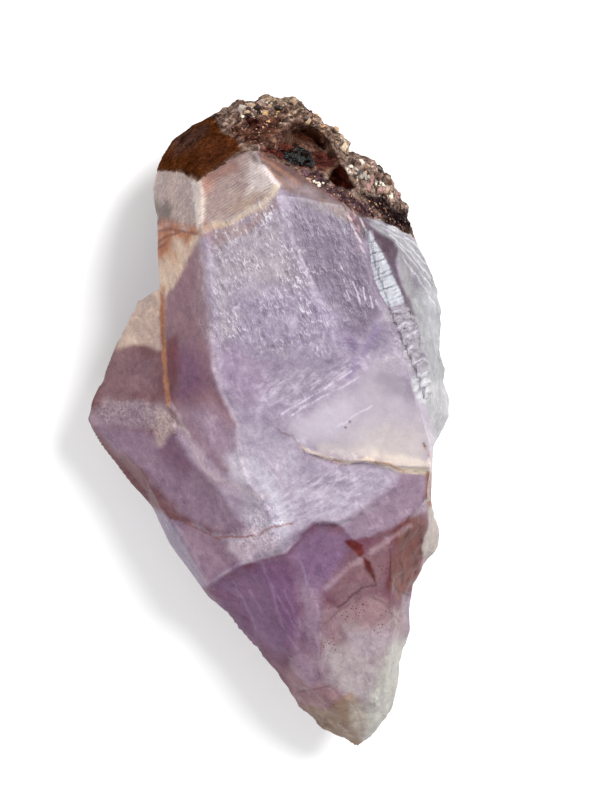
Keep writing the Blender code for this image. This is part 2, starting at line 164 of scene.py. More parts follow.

# %% [markdown]
# Seams, cracks and the pale rims of broken facets are thin lines on the stone. They are drawn here as bent
# lines in the photograph's pixels, each kind with a colour, a half width, the width of its soft border, and
# how much of the colour below it hides. They could be thin strips of their own, but in the stone they are
# stains and flaws in its surface, so they are painted. A few kinds are painted light instead: the rim glow
# and the ledge glow are painted glow, the ridge sparkle, the shiny ridge and the step glints are painted
# highlights, and the ledge face is its cream painted lighter for a face that lies in shade. They come first
# because the surface is cut extra fine beside them.

# %% Lines on the stone
LINES = {
    # rim glow: a painted glow, a soft band of pale light along the rounded left rim of the broad face
    "rim glow": ((194, 180, 197), 2.0, 8.0, 0.5, [
        [(206, 238), (209, 270), (211, 310), (214, 350), (222, 385)]]),
    "orange seam": ((170, 114, 80), 1.4, 2.2, 0.95, [
        [(162, 286), (163, 330), (165, 368), (167, 392), (169, 405)]]),
    "orange crack": ((176, 120, 92), 1.0, 2.2, 0.7, [[(154, 227), (175, 224), (200, 229), (222, 224)]]),
    "pale seam": ((202, 184, 186), 0.7, 2.8, 0.5, [
        [(170, 404), (179, 416), (189, 440), (205, 468), (217, 480)],
        [(217, 480), (237, 486), (257, 498)]]),
    "prism rim": ((210, 196, 204), 0.6, 2.6, 0.55, [
        [(210, 330), (213, 365), (222, 395), (237, 425), (240, 455)],
        [(240, 455), (248, 480), (262, 498)]]),
    # ledge glow: a painted glow, a soft band of pale light in the milky quartz along the ledge
    "ledge glow": ((214, 203, 191), 1.6, 8.0, 0.35, [
        [(322, 448), (345, 455), (360, 454), (375, 451), (395, 457), (410, 464), (431, 464)]]),
    "ledge low": ((228, 213, 198), 3.0, 6.0, 0.55, [[(376, 456), (395, 460), (412, 463), (430, 465)]]),
    # ledge face: the ledge's cream colour, painted lighter still as painted light on a step face that lies
    # in shade
    "ledge face": ((250, 236, 208), 1.4, 1.8, 0.9, [
        [(366, 460), (375, 462), (382, 464), (393, 467), (400, 470), (412, 471), (431, 473)]]),
    "ledge cream": ((222, 206, 184), 0.6, 2.4, 0.7, [
        [(302, 447), (311, 452), (322, 456), (333, 459), (341, 462), (350, 462), (359, 460), (367, 458),
         (375, 461), (382, 462), (393, 464), (400, 469), (407, 470), (415, 469), (424, 471), (431, 472)]]),
    "ledge rust": ((172, 124, 96), 0.4, 1.6, 0.7, [
        [(334, 460), (341, 463)], [(375, 462), (388, 464), (396, 468), (404, 471)],
        [(424, 446), (430, 454), (433, 466)]]),
    "dark spots": ((84, 64, 66), 0.7, 0.8, 0.9, [
        [(349, 421), (350, 422)], [(345, 427), (346, 428)], [(423, 443), (426, 447)]]),
    "violet vein": ((118, 98, 136), 1.6, 4.5, 0.5, [[(378, 328), (368, 346), (356, 364), (350, 376)]]),
    "ledge brown": ((122, 96, 92), 0.4, 1.2, 0.5, [
        [(275, 427), (284, 433), (293, 436), (298, 443), (305, 452)],
        [(311, 455), (322, 459), (341, 465), (350, 465), (367, 461), (382, 465), (393, 467), (400, 472),
         (415, 472), (431, 475)]]),
    "streaks": ((224, 216, 228), 0.4, 0.7, 0.6, [
        [(282, 414), (300, 403), (326, 387), (352, 371)], [(290, 416), (318, 399), (356, 380)],
        [(338, 427), (354, 416), (372, 405)]]),
    "chevron corner": ((214, 203, 192), 2.0, 3.2, 0.75, [[(194, 177), (197, 200), (200, 228)]]),
    "chevron ridge": ((214, 204, 206), 0.8, 1.6, 0.35, [[(256, 152), (262, 166), (275, 181)]]),
    "apex ridge": ((222, 212, 208), 1.2, 3.0, 0.7, [[(262, 167), (270, 176), (278, 185)]]),
    "apex haze": ((196, 180, 190), 1.6, 6.0, 0.2, [[(284, 180), (306, 190), (330, 200), (346, 210)]]),
    "orange thread": ((186, 132, 100), 0.8, 2.8, 0.4, [[(262, 158), (280, 170), (300, 184)]]),
    "rust streaks": ((118, 58, 30), 0.7, 1.8, 0.8, [
        [(152, 232), (170, 229), (196, 234)], [(154, 246), (164, 238), (180, 232)],
        [(150, 264), (156, 250), (166, 243)]]),
    "crown fringe": ((108, 72, 68), 0.8, 2.4, 0.7, [
        [(200, 179), (212, 170), (230, 159), (246, 152)],
        [(258, 153), (268, 159), (280, 165), (296, 174), (310, 183), (322, 191), (334, 199), (346, 206)]]),
    # ridge sparkle: a painted highlight, a faint pale band for the glints along the central ridge
    "ridge sparkle": ((214, 206, 220), 0.8, 5.0, 0.2, [
        [(280, 200), (290, 235), (304, 268), (318, 300), (326, 322)]]),
    "reddish dots": ((138, 86, 76), 0.5, 1.1, 0.9, [
        [(180, 520), (200, 530), (220, 540)],
        [(216, 537), (240, 537), (258, 535), (272, 527), (292, 524)]]),
    "root rim": ((190, 172, 184), 0.5, 2.4, 0.4, [
        [(173, 520), (190, 546), (207, 583)],
        [(208, 583), (235, 566), (262, 558), (285, 552), (300, 536)],
        [(262, 452), (285, 480), (300, 505)]]),
    "root fractures": ((180, 162, 188), 0.3, 1.8, 0.22, [
        [(260, 560), (268, 576), (276, 604), (283, 628), (296, 648)],
        [(262, 566), (280, 600), (300, 636)], [(250, 590), (262, 612)], [(285, 590), (293, 612)],
        [(318, 606), (315, 630), (320, 655)], [(300, 560), (308, 584)],
        [(232, 580), (246, 604), (256, 630)], [(330, 640), (322, 668), (328, 688)]]),
    "pink ribs": ((206, 182, 190), 0.6, 4.2, 0.27, [
        [(326, 588), (344, 571), (360, 560)], [(370, 553), (380, 546), (392, 538), (410, 526)]]),
    "brown crack": ((46, 16, 12), 0.4, 1.1, 0.7, [
        [(392, 542), (391, 560), (390, 578), (398, 590), (410, 596)],
        [(418, 524), (421, 536), (420, 556), (415, 572)],
        [(410, 528), (403, 543), (399, 558), (404, 572), (402, 584)],
        [(412, 552), (417, 560), (410, 566)], [(376, 586), (362, 588), (350, 598), (338, 608)]]),
    "dark dots": ((104, 72, 74), 0.5, 0.9, 0.7, [
        [(350, 604), (336, 613), (323, 626), (320, 655)], [(372, 596), (385, 604), (400, 622)],
        [(300, 693), (330, 686), (345, 700)]]),
    "root edge": ((124, 84, 62), 2.4, 1.8, 0.9, [[(429, 474), (430, 490), (431, 503)]]),
    "strip edge": ((98, 82, 96), 0.6, 1.0, 0.8, [[(370, 229), (381, 248), (391, 267), (405, 300)]]),
    "strip near edge": ((112, 92, 108), 0.5, 1.0, 0.8, [
        [(366, 232), (370, 260), (374, 281), (383, 301), (389, 310)]]),
    "strip grooves": ((84, 80, 92), 0.45, 0.7, 0.9, [
        [(370, 255), (380, 251)], [(373, 277), (391, 269)], [(375, 281), (393, 273)],
        [(371, 264), (385, 259)], [(379, 291), (397, 284)], [(368, 243), (376, 240)]]),
    "step curls": ((92, 78, 92), 0.4, 0.9, 0.6, [
        [(391, 310), (398, 315), (405, 309), (411, 312)],
        [(394, 318), (400, 313), (404, 320), (398, 325), (394, 321)],
        [(404, 326), (410, 319), (416, 323), (412, 330)], [(400, 334), (408, 331), (414, 336)],
        [(407, 346), (416, 341)], [(408, 358), (414, 352), (422, 355), (417, 361)],
        [(413, 385), (428, 376)], [(415, 393), (429, 385)]]),
    # step glints: painted highlights, short white strokes for the glints on the broken steps
    "step glints": ((214, 212, 220), 0.4, 1.0, 0.6, [
        [(392, 313), (400, 309)], [(397, 329), (406, 322), (410, 324)],
        [(400, 341), (411, 334), (418, 331)], [(405, 352), (413, 346)],
        [(410, 366), (421, 359), (425, 360)], [(412, 381), (427, 372)], [(414, 389), (429, 381)],
        [(417, 397), (430, 389)]]),
    "band streaks": ((230, 230, 234), 0.3, 0.8, 0.5, [
        [(368, 218), (392, 227), (418, 240)], [(374, 221), (398, 232), (422, 250)],
        [(382, 227), (404, 240), (426, 264)], [(390, 235), (410, 252), (430, 278)],
        [(396, 242), (414, 262), (434, 292)], [(400, 254), (418, 278), (434, 304)]]),
    "band lines": ((140, 138, 146), 0.35, 0.9, 0.6, [
        [(371, 219), (395, 229), (420, 245)], [(380, 225), (401, 236), (424, 257)],
        [(394, 239), (412, 257), (432, 285)], [(408, 282), (424, 290), (438, 304)],
        [(404, 262), (420, 286)]]),
    "white dashes": ((224, 214, 226), 0.35, 0.8, 0.65, [
        [(353, 282), (357, 292), (360, 303)], [(363, 288), (365, 300)], [(370, 296), (373, 308)],
        [(376, 300), (380, 310)], [(340, 262), (342, 270)], [(346, 290), (349, 298)]]),
    # shiny ridge: painted highlights, short pale strokes for the glints along the ridge below the crown
    "shiny ridge": ((228, 206, 206), 0.6, 1.0, 0.6, [
        [(345, 203), (347, 208)], [(348, 212), (349, 218), (352, 221)], [(351, 225), (355, 230)],
        [(356, 233), (361, 242)], [(357, 209), (358, 214)], [(353, 212), (355, 216), (354, 219)],
        [(360, 219), (364, 227)], [(358, 226), (359, 230)], [(361, 246), (364, 252)]]),
    "red shade": ((118, 72, 76), 1.2, 2.4, 0.6, [[(350, 205), (354, 219), (359, 231)]]),
    "tip border": ((136, 108, 90), 0.6, 2.0, 0.6, [
        [(302, 706), (320, 710), (331, 708), (340, 700), (352, 694)]]),
    "tip lines": ((118, 104, 98), 0.3, 1.0, 0.55, [
        [(351, 700), (358, 714), (364, 728)], [(374, 704), (387, 719)], [(310, 712), (322, 728)]]),
    "chevron cream": ((206, 192, 164), 1.4, 4.0, 0.6, [
        [(203, 231), (214, 225), (226, 223), (240, 217), (250, 210), (262, 205), (270, 197), (276, 187)]]),
    "chevron thread": ((178, 148, 116), 0.5, 1.6, 0.5, [
        [(206, 230), (222, 226), (238, 220), (252, 213), (264, 206), (272, 199), (278, 190)]]),
}


def close_by(spots, corners, reach):
    """The numbers of the spots that lie within `reach` of the corners' box."""
    x, y = spots.T
    (left, top), (right, bottom) = np.min(corners, axis=0) - reach, np.max(corners, axis=0) + reach
    return np.flatnonzero((x > left) & (x < right) & (y > top) & (y < bottom))


def from_lines(spots, lines, reach):
    """Distance in pixels from each spot to the nearest bent line: to the nearest point on any of its
    straight parts. Distances over `reach` aren't worked out."""
    nearest = np.full(len(spots), float(reach))
    for line in lines:
        corners = np.array(line, dtype=float)
        for start, end in zip(corners[:-1], corners[1:]):
            near = close_by(spots, (start, end), reach)
            offset, along = spots[near] - start, end - start
            share = (offset @ along / (along @ along)).clip(0.0, 1.0)
            nearest[near] = np.minimum(nearest[near], np.hypot(*(offset - share[:, None] * along).T))
    return nearest


print("lines:", sum(len(lines) for *_, lines in LINES.values()))

# %% [markdown]
# The stone starts as a copy of the CAD solid. Its triangles are up to 50 mm long, and a surface that is to
# be etched needs them under a millimetre. Blender's Subdivide would cut every triangle alike, so the small
# ones would be dust before the large ones are fine. Here each round halves only the edges that are longer
# than the limit for their place, all at once as whole arrays, until none is left. The front, which is
# looked at closely, gets the short limit, and the narrow lines, the two red drops and one sharp border get
# a shorter one still. The softness under which a line is narrow, and its reach, are in pixels.

# %% Cut the copy fine
FINE = 0.86
COARSE = 2.4
AT_LINES = 0.50
WIDE_LINE = 2.5
LINE_REACH = (3.0, 6.0)
FINE_FROM = 13.0
COARSE_BELOW = 8.0
STEEP = (1.0, 1.0, 0.6)
MOST_ROUNDS = 12
FINE_ALSO = [
    [(346, 541), (354, 545), (361, 555)], [(364, 558), (370, 568), (375, 582)], [(168, 340), (170, 400)],
]
NARROW = [lines for _, _, soft, _, lines in LINES.values() if soft < WIDE_LINE]
FINE_LINES = sum(NARROW, []) + FINE_ALSO


def smooth(low, high, value):
    """0 below low, 1 above high, and an even S-shaped rise between them."""
    share = np.clip((value - low) / (high - low), 0.0, 1.0)
    return share * share * (3.0 - 2.0 * share)


def turned(rows, first):
    """Each row of three, turned so that it starts at its own place `first`."""
    order = (first[:, None] + np.arange(3)) % 3
    return np.take_along_axis(rows, order, axis=1)


def halve_long_edges(points, faces, limit):
    """Splits in two each edge that is longer than AT_LINES and than limit(middle), with its height counted
    for less. A triangle with one, two or three split sides becomes two, three or four triangles. Gives the
    new points and faces, and how many edges were split."""
    ends = np.sort(np.stack([faces, np.roll(faces, -1, axis=1)], axis=2).reshape(-1, 2), axis=1)
    keys, side = np.unique(ends[:, 0] * len(points) + ends[:, 1], return_inverse=True)
    start, end = points[keys // len(points)], points[keys % len(points)]
    middle = (start + end) / 2
    length = np.linalg.norm((end - start) * STEEP, axis=1)
    long = length > AT_LINES
    long[long] = length[long] > limit(middle[long])
    number = np.full(len(keys), -1)
    number[long] = len(points) + np.arange(long.sum())
    middles = number[side.reshape(-1, 3)]
    split = middles >= 0
    count = split.sum(axis=1)
    made = [faces[count == 0]]
    rows = count == 1
    corner, mid = (turned(of[rows], split[rows].argmax(axis=1)) for of in (faces, middles))
    made += [np.stack(three, axis=1) for three in (
        (corner[:, 0], mid[:, 0], corner[:, 2]),
        (mid[:, 0], corner[:, 1], corner[:, 2]),
    )]
    rows = count == 2
    corner, mid = (turned(of[rows], (split[rows].argmin(axis=1) + 1) % 3) for of in (faces, middles))
    made.append(np.stack([mid[:, 0], corner[:, 1], mid[:, 1]], axis=1))
    made += [np.stack(three, axis=1) for three in (
        (corner[:, 0], mid[:, 0], mid[:, 1]),
        (corner[:, 0], mid[:, 1], corner[:, 2]),
    )]
    rows = count == 3
    corner, mid = faces[rows], middles[rows]
    made += [np.stack([mid[:, side - 1], corner[:, side], mid[:, side]], axis=1) for side in range(3)]
    made.append(mid)
    return np.concatenate([points, middle[long]]), np.concatenate(made), int(long.sum())


def edge_limit(place):
    """The fine limit on the front, a finer one beside the lines, the coarse one underneath."""
    beside = from_lines(seen(place), FINE_LINES, LINE_REACH[1])
    fine = AT_LINES + (FINE - AT_LINES) * smooth(*LINE_REACH, beside)
    return COARSE + (fine - COARSE) * smooth(COARSE_BELOW, FINE_FROM, place[:, 2])


def merged_copy(node):
    """Points in millimetres and triangles of a CAD node, with the points that coincide made one."""
    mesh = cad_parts[node].data
    mesh.calc_loop_triangles()
    points = np.empty(len(mesh.vertices) * 3)
    mesh.vertices.foreach_get("co", points)
    faces = np.empty(len(mesh.loop_triangles) * 3, dtype=np.int64)
    mesh.loop_triangles.foreach_get("vertices", faces)
    points = points.reshape(-1, 3) / MM
    _, first, same = np.unique(points.round(3), axis=0, return_index=True, return_inverse=True)
    faces = same.reshape(-1)[faces.reshape(-1, 3)]
    whole = (faces[:, 0] != faces[:, 1]) & (faces[:, 1] != faces[:, 2]) & (faces[:, 2] != faces[:, 0])
    return points[first], faces[whole]


points, faces = merged_copy("amethyst_point")
print("CAD copy:", len(points), "points,", len(faces), "triangles")
for step in range(MOST_ROUNDS):
    points, faces, halved = halve_long_edges(points, faces, edge_limit)
    if not halved:
        break
print("cut fine:", len(points), "points,", len(faces), "triangles")

# %% [markdown]
# Everything that roughens or colours the stone comes from one kind of noise: a random number at each corner
# of a cubic lattice, blended smoothly in between. Several sizes added together give natural waves.
# Blender's own noise would need a Python call for every point, and this one works on the whole array at
# once.

# %% Noise
PRIMES = (73856093, 19349663, 83492791)
SEED_STEP = 26544357


def mixed(number, shift, prime):
    """Whole numbers below 2**31, scrambled: their high bits are laid over the low ones, and a prime
    multiplies them."""
    return ((number ^ (number >> shift)) * prime) & 0x7FFFFFFF


def lattice_number(corner, salt):
    """A number of its own for each lattice corner: its x, y and z, each times a prime, mixed with the
    salt."""
    x, y, z = (corner * PRIMES).T
    return mixed(x ^ y ^ z ^ salt, 13, 1274126177)


def noise(places, cell, seed=0):
    """Values from -1 to 1: the last 16 bits of each lattice corner's own number, blended along x, y and z
    by S-shaped steps."""
    spot = places / cell
    corner = np.floor(spot).astype(np.int64)
    share = smooth(0.0, 1.0, spot - corner)
    total = np.zeros(len(places))
    for step in itertools.product((0, 1), repeat=3):
        number = mixed(lattice_number(corner + step, seed * SEED_STEP + 977), 15, 461845907)
        weight = np.where(step, share, 1.0 - share).prod(axis=1)
        total += weight * ((number & 0xFFFF) / 32767.5 - 1.0)
    return total


def waves(places, cell, seed=0, layers=3):
    """Noise at several sizes: each layer is half as large and half as strong as the one before."""
    total = sum(noise(places, cell / 2**layer, seed + layer) / 2**layer for layer in range(layers))
    return total / sum(0.5**layer for layer in range(layers))


def grains(places, cell, seed=0):
    """Rounded lumps from 0 to 1: one lump's centre in each lattice cube, placed by ten bits of the cube's
    number for each axis, and the nearest one gives the height."""
    spot = places / cell
    corner = np.floor(spot).astype(np.int64)
    nearest = np.full(len(places), 9.0)
    for step in itertools.product((-1, 0, 1), repeat=3):
        number = lattice_number(corner + step, seed * SEED_STEP + 77)
        inside = np.stack([(number >> bits) & 0x3FF for bits in (0, 10, 20)], axis=1) / 1023.0
        away = ((corner + step + inside - spot) ** 2).sum(axis=1)
        nearest = np.minimum(nearest, away)
    return 1.0 - np.sqrt(nearest).clip(0.0, 1.0)


print("noise from", noise(points, 5.0).min().round(2), "to", noise(points, 5.0).max().round(2))

# %% [markdown]
# Next come the facts that the surface itself gives: which way each point faces, and whether it lies on a
# ridge. A point's height over the mean of its neighbours says that, and spreading it over the next
# neighbours gives a soft band along every ridge. The ridges of a real crystal that was dug up and carried
# about are chipped and worn.

# %% Facing and ridges
RIDGE_SPREAD = 5
RIDGE_BEND = (0.012, 0.10)


def facing(points, faces):
    """Each point's normal: the sum of its triangles' normals, by their area."""
    one, two, three = (points[faces[:, corner]] for corner in range(3))
    across = np.cross(two - one, three - one)
    normal = np.zeros_like(points)
    for corner in range(3):
        for axis in range(3):
            normal[:, axis] += np.bincount(faces[:, corner], across[:, axis], len(points))
    return normal / np.linalg.norm(normal, axis=1, keepdims=True).clip(1e-12)


def neighbour_mean(values, faces):
    """The mean over each point's neighbours, each reached by way of the triangles they share."""
    total = np.zeros((len(values), values.shape[1]))
    count = np.bincount(faces.ravel(), minlength=len(values)) * 2.0
    for corner in range(3):
        around = values[faces[:, corner - 1]] + values[faces[:, corner - 2]]
        for axis in range(values.shape[1]):
            total[:, axis] += np.bincount(faces[:, corner], around[:, axis], len(values))
    return total / count[:, None]


normals = facing(points, faces)
bend = ((points - neighbour_mean(points, faces)) * normals).sum(axis=1) / FINE
band = bend.clip(0.0, None)[:, None]
for step in range(RIDGE_SPREAD):
    band = (band + neighbour_mean(band, faces)) / 2
ridge = smooth(*RIDGE_BEND, band[:, 0])
print("on ridges:", int((ridge > 0.5).sum()), "of", len(points), "points")

# %% [markdown]
# The colours of this stone lie in patches: smoky mauve in the left prism facet, a milky foot, a violet
# root, rusty stains in the seams. Each patch is an outline on the photograph with a colour, a soft border
# and a ragged border, painted one over another as a restorer would glaze them. An image would carry them
# too, but a painted attribute stays sharp at any distance and needs no unwrapping. The points that the
# camera sees well are painted this way, and from their rim the paint runs on down the sides and fades out,
# as the colours inside the crystal do.

# %% Painting tools
FACES_UP = (-0.15, 0.12)
SEEN_WELL = (0.03, 0.16)
PAINT_SPREAD = 60
PAINT_KEPT = 0.985
PAINT_UNEVEN = 0.5
PAINT_RAISED = 0.1
PAINT_GONE = (0.02, 0.2)
BORDER_WAVES = 4.0


def linear(colour):
    """Screen colour from 0 to 255, turned into the light it stands for: nearly the power 2.2."""
    share = np.array(colour) / 255.0
    return np.where(share > 0.04045, ((share + 0.055) / 1.055) ** 2.4, share / 12.92)


def within(spots, outline):
    """Distance in pixels from each spot to a closed outline, positive inside. A spot is inside if a ray to
    the right crosses the outline an odd number of times."""
    corners = np.array(outline, dtype=float)
    x, y = spots.T
    inside = np.zeros(len(spots), dtype=bool)
    for (x1, y1), (x2, y2) in zip(corners, np.roll(corners, -1, axis=0)):
        if y1 != y2:
            inside ^= ((y1 > y) != (y2 > y)) & (x < x1 + (y - y1) / (y2 - y1) * (x2 - x1))
    away = from_lines(spots, [list(outline) + [outline[0]]], 1000.0)
    return np.where(inside, away, -away)


def patch(spots, places, outline, soft, ragged, seed):
    """How much each spot lies in the outline, from 0 to 1, with a border that waves by up to twice `ragged`
    pixels."""
    share = np.zeros(len(spots))
    near = close_by(spots, outline, soft + 2.0 * ragged)
    shift = [waves(places[near], BORDER_WAVES, number) for number in (seed, seed + 50)]
    moved = spots[near] + ragged * 2.0 * np.stack(shift, axis=1)
    share[near] = smooth(-soft, soft, within(moved, outline))
    return share


spots = seen(points)
facing_up = smooth(*FACES_UP, normals[:, 2])
facing_down = 1.0 - facing_up
seen_well = smooth(*SEEN_WELL, normals[:, 2])
painted = seen_well
for step in range(PAINT_SPREAD):
    painted = np.maximum(seen_well, PAINT_KEPT * neighbour_mean(painted[:, None], faces)[:, 0])
uneven = painted * (1.0 + PAINT_UNEVEN * waves(points, 5.0, 40)) + PAINT_RAISED
painted = np.maximum(uneven.clip(0.0, 1.0) * smooth(*PAINT_GONE, painted), seen_well)
print("points that face up:", int((facing_up > 0.5).sum()), "painted:", int((painted > 0.5).sum()))

# %% [markdown]
# The crown is iron ore, and the rest is quartz. The border between them is a drawn outline on the front,
# and a plain height along the stone on the back, where nothing shows it.

# %% Where the crown begins
CROWN = [
    (135, 172), (152, 170), (165, 171), (177, 173), (188, 176), (194, 180), (198, 181), (205, 176),
    (217, 168), (232, 160), (246, 152), (258, 151), (268, 157), (280, 163), (296, 172), (310, 181),
    (322, 189), (334, 197), (346, 204), (354, 211), (362, 217), (374, 219), (388, 224), (403, 230),
    (416, 239), (450, 240), (430, 120), (340, 80), (230, 80), (140, 130),
]
CROWN_BACK = 52.0
CROWN_BACK_WAVES = (4.0, 14.0)
GLOSSY = [
    (145, 172), (148, 150), (168, 130), (200, 116), (214, 118), (222, 130), (236, 140), (244, 150),
    (230, 159), (212, 170), (199, 180), (180, 172),
]
HOLLOW = [
    (276, 150), (282, 137), (298, 124), (312, 124), (326, 138), (336, 154), (338, 170), (326, 170),
    (316, 150), (300, 144),
]
CROWN_BORDER = (0.8, 1.2)
front_crown = patch(spots, points, CROWN, *CROWN_BORDER, 1)
rise, length = CROWN_BACK_WAVES
back_crown = smooth(-1.0, 1.0, points[:, 1] + rise * waves(points, length, 2) - CROWN_BACK)
crown = back_crown + (front_crown - back_crown) * painted
print("crown points:", int((crown > 0.5).sum()))

# %% [markdown]
# The masks say where a texture lies: the etched skin of the broad face, the growth lines of the chevron
# above it, the cross grooves of the narrow strip, the streaks of the clear band, and the rusty specks of
# the root. Each is an outline with a soft border and a ragged one, in pixels. Some textures lie in several
# outlines, which are joined. The ruled ones also have a direction across their lines and a spacing, from
# which each point gets its number of turns.

# %% Where each texture lies
MASKS = {
    "etched": (16, 9, [
        (203, 226), (240, 216), (272, 192), (292, 198), (302, 240), (318, 285), (332, 330), (322, 350),
        (300, 352), (250, 352), (216, 345), (203, 300)]),
    "etched right": (16, 9, [
        (284, 196), (345, 211), (366, 235), (374, 280), (378, 312), (362, 330), (330, 345), (308, 300)]),
    "chevron": (2, 2, [
        (197, 178), (215, 170), (230, 163), (247, 152), (258, 149), (277, 184), (262, 204), (240, 214),
        (222, 222), (201, 228)]),
    "frosty": (4, 4, [
        (152, 168), (165, 169), (193, 173), (198, 200), (200, 228), (158, 228), (150, 185)]),
    "frosty side": (5, 5, [
        (84, 408), (110, 401), (165, 401), (173, 415), (184, 428), (163, 443), (140, 424), (110, 426)]),
    "frosty foot": (5, 5, [(232, 538), (258, 498), (275, 505), (285, 535), (270, 552), (246, 558)]),
    "fibrous": (8, 6, [
        (258, 386), (300, 370), (350, 360), (374, 358), (336, 388), (292, 410), (258, 414)]),
    "fibrous front": (8, 6, [
        (268, 480), (318, 470), (350, 464), (392, 474), (382, 490), (345, 512), (322, 520), (296, 528),
        (268, 520)]),
    # sparkling: where the crests of the etched skin get a stronger painted highlight
    "sparkling": (8, 8, [
        (258, 192), (276, 196), (288, 235), (302, 268), (320, 318), (312, 332), (294, 290), (277, 250),
        (264, 222)]),
    "sparkling left": (8, 8, [(200, 305), (214, 300), (216, 350), (206, 350)]),
    "strip": (0.8, 0.5, [
        (365, 229), (370, 232), (380, 249), (390, 268), (404, 300), (403, 304), (387, 308), (382, 297),
        (374, 280), (370, 260)]),
    "band": (3, 2, [
        (368, 217), (392, 226), (418, 237), (430, 262), (436, 296), (420, 284), (405, 262), (390, 240)]),
    "steps": (2, 2, [
        (386, 308), (404, 303), (414, 314), (424, 340), (430, 372), (432, 400), (420, 404), (412, 378),
        (404, 356), (394, 330)]),
    "rusty": (5, 8, [
        (350, 560), (395, 528), (425, 513), (428, 545), (414, 610), (408, 640), (385, 640), (350, 640),
        (330, 660), (315, 650), (322, 615), (338, 600)]),
    "rough": (4, 4, [
        (395, 225), (460, 225), (460, 760), (290, 760), (280, 690), (300, 690), (330, 720), (370, 720),
        (392, 700), (405, 640), (412, 590), (424, 520), (428, 470), (436, 430), (432, 300), (415, 250)]),
    "milky": (10, 8, [
        (290, 424), (330, 398), (392, 356), (420, 400), (434, 470), (395, 463), (345, 460), (310, 452),
        (292, 440)]),
    "root": (10, 6, [
        (195, 594), (236, 572), (263, 563), (286, 556), (302, 538), (320, 527), (346, 534), (375, 529),
        (402, 521), (436, 512), (470, 560), (470, 780), (260, 780)]),
    "soft ridge": (6, 2, [
        (200, 236), (216, 236), (222, 330), (222, 392), (240, 420), (250, 470), (262, 500), (230, 492),
        (230, 440), (206, 392), (202, 330)]),
    "soft crest": (5, 2, [
        (270, 184), (286, 184), (298, 230), (312, 262), (326, 296), (336, 330), (322, 336), (308, 302),
        (294, 268), (280, 232)]),
    "soft border": (6, 2, [
        (268, 180), (300, 184), (352, 204), (360, 226), (344, 224), (300, 206), (270, 198)]),
}
JOINED = {
    "frosty side": "frosty", "frosty foot": "frosty", "fibrous front": "fibrous",
    "sparkling left": "sparkling", "soft border": "soft ridge", "soft crest": "soft ridge",
}
ETCHED_RIGHT = 0.4
RULED = {
    "chevron": ((-0.524, 0.852, 0.0), 0.62, 0.75),
    "strip": ((-0.407, 0.914, 0.0), 0.9, 0.7),
    "band": ((0.616, 0.788, 0.0), 0.8, 0.5),
}
GLOSSY_BORDER = (4.0, 3.0)
HOLLOW_BORDER = (3.0, 2.0)
HOLLOW_GLOSS = 0.6
BACK_FIBRES, FIBRE_CLOUDS = 0.7, 10.0
RUST_CLOUDS = 8.0

masks = {}
for seed, (name, (soft, ragged, outline)) in enumerate(MASKS.items(), start=10):
    masks[name] = patch(spots, points, outline, soft, ragged, seed) * facing_up
    print(name, "covers", int((masks[name] > 0.5).sum()), "points")
for part, whole in JOINED.items():
    masks[whole] = np.maximum(masks[whole], masks.pop(part))
masks["etched"] = np.maximum(masks["etched"], ETCHED_RIGHT * masks.pop("etched right"))
closest = np.argmax([within(spots, MASKS[name][2]) for name in RULED], axis=0)
turns = np.stack([points @ np.array(across) / spacing for across, spacing, _ in RULED.values()])
masks["turns"] = np.take_along_axis(turns, closest[None], axis=0)[0]
masks["ruled"] = sum(share * masks.pop(name) for name, (*_, share) in RULED.items())
veins = BACK_FIBRES * facing_down * smooth(0.0, 0.4, waves(points, FIBRE_CLOUDS, 33))
masks["fibrous"] = np.maximum(masks["fibrous"], veins)
smears = facing_down * smooth(0.1, 0.4, waves(points, RUST_CLOUDS, 34))
masks["rusty"] = np.maximum(masks["rusty"], smears)
masks["glossy"] = patch(spots, points, GLOSSY, *GLOSSY_BORDER, 30)
in_hollow = HOLLOW_GLOSS * patch(spots, points, HOLLOW, *HOLLOW_BORDER, 31)
masks["glossy"] = np.maximum(masks["glossy"], in_hollow) * facing_up

# %% [markdown]
# The patches themselves, painted from the first to the last. Each line holds the colour, how soft the
# border is and how far it waves, in pixels, and how much of the colour below it hides. The lines come over
# them, shaky by about a pixel and broken here and there. The back has colours of its own: milky violet
# quartz that is broken off and smeared with brown clouds, each with its size, and darker brown ore behind
# the crown.

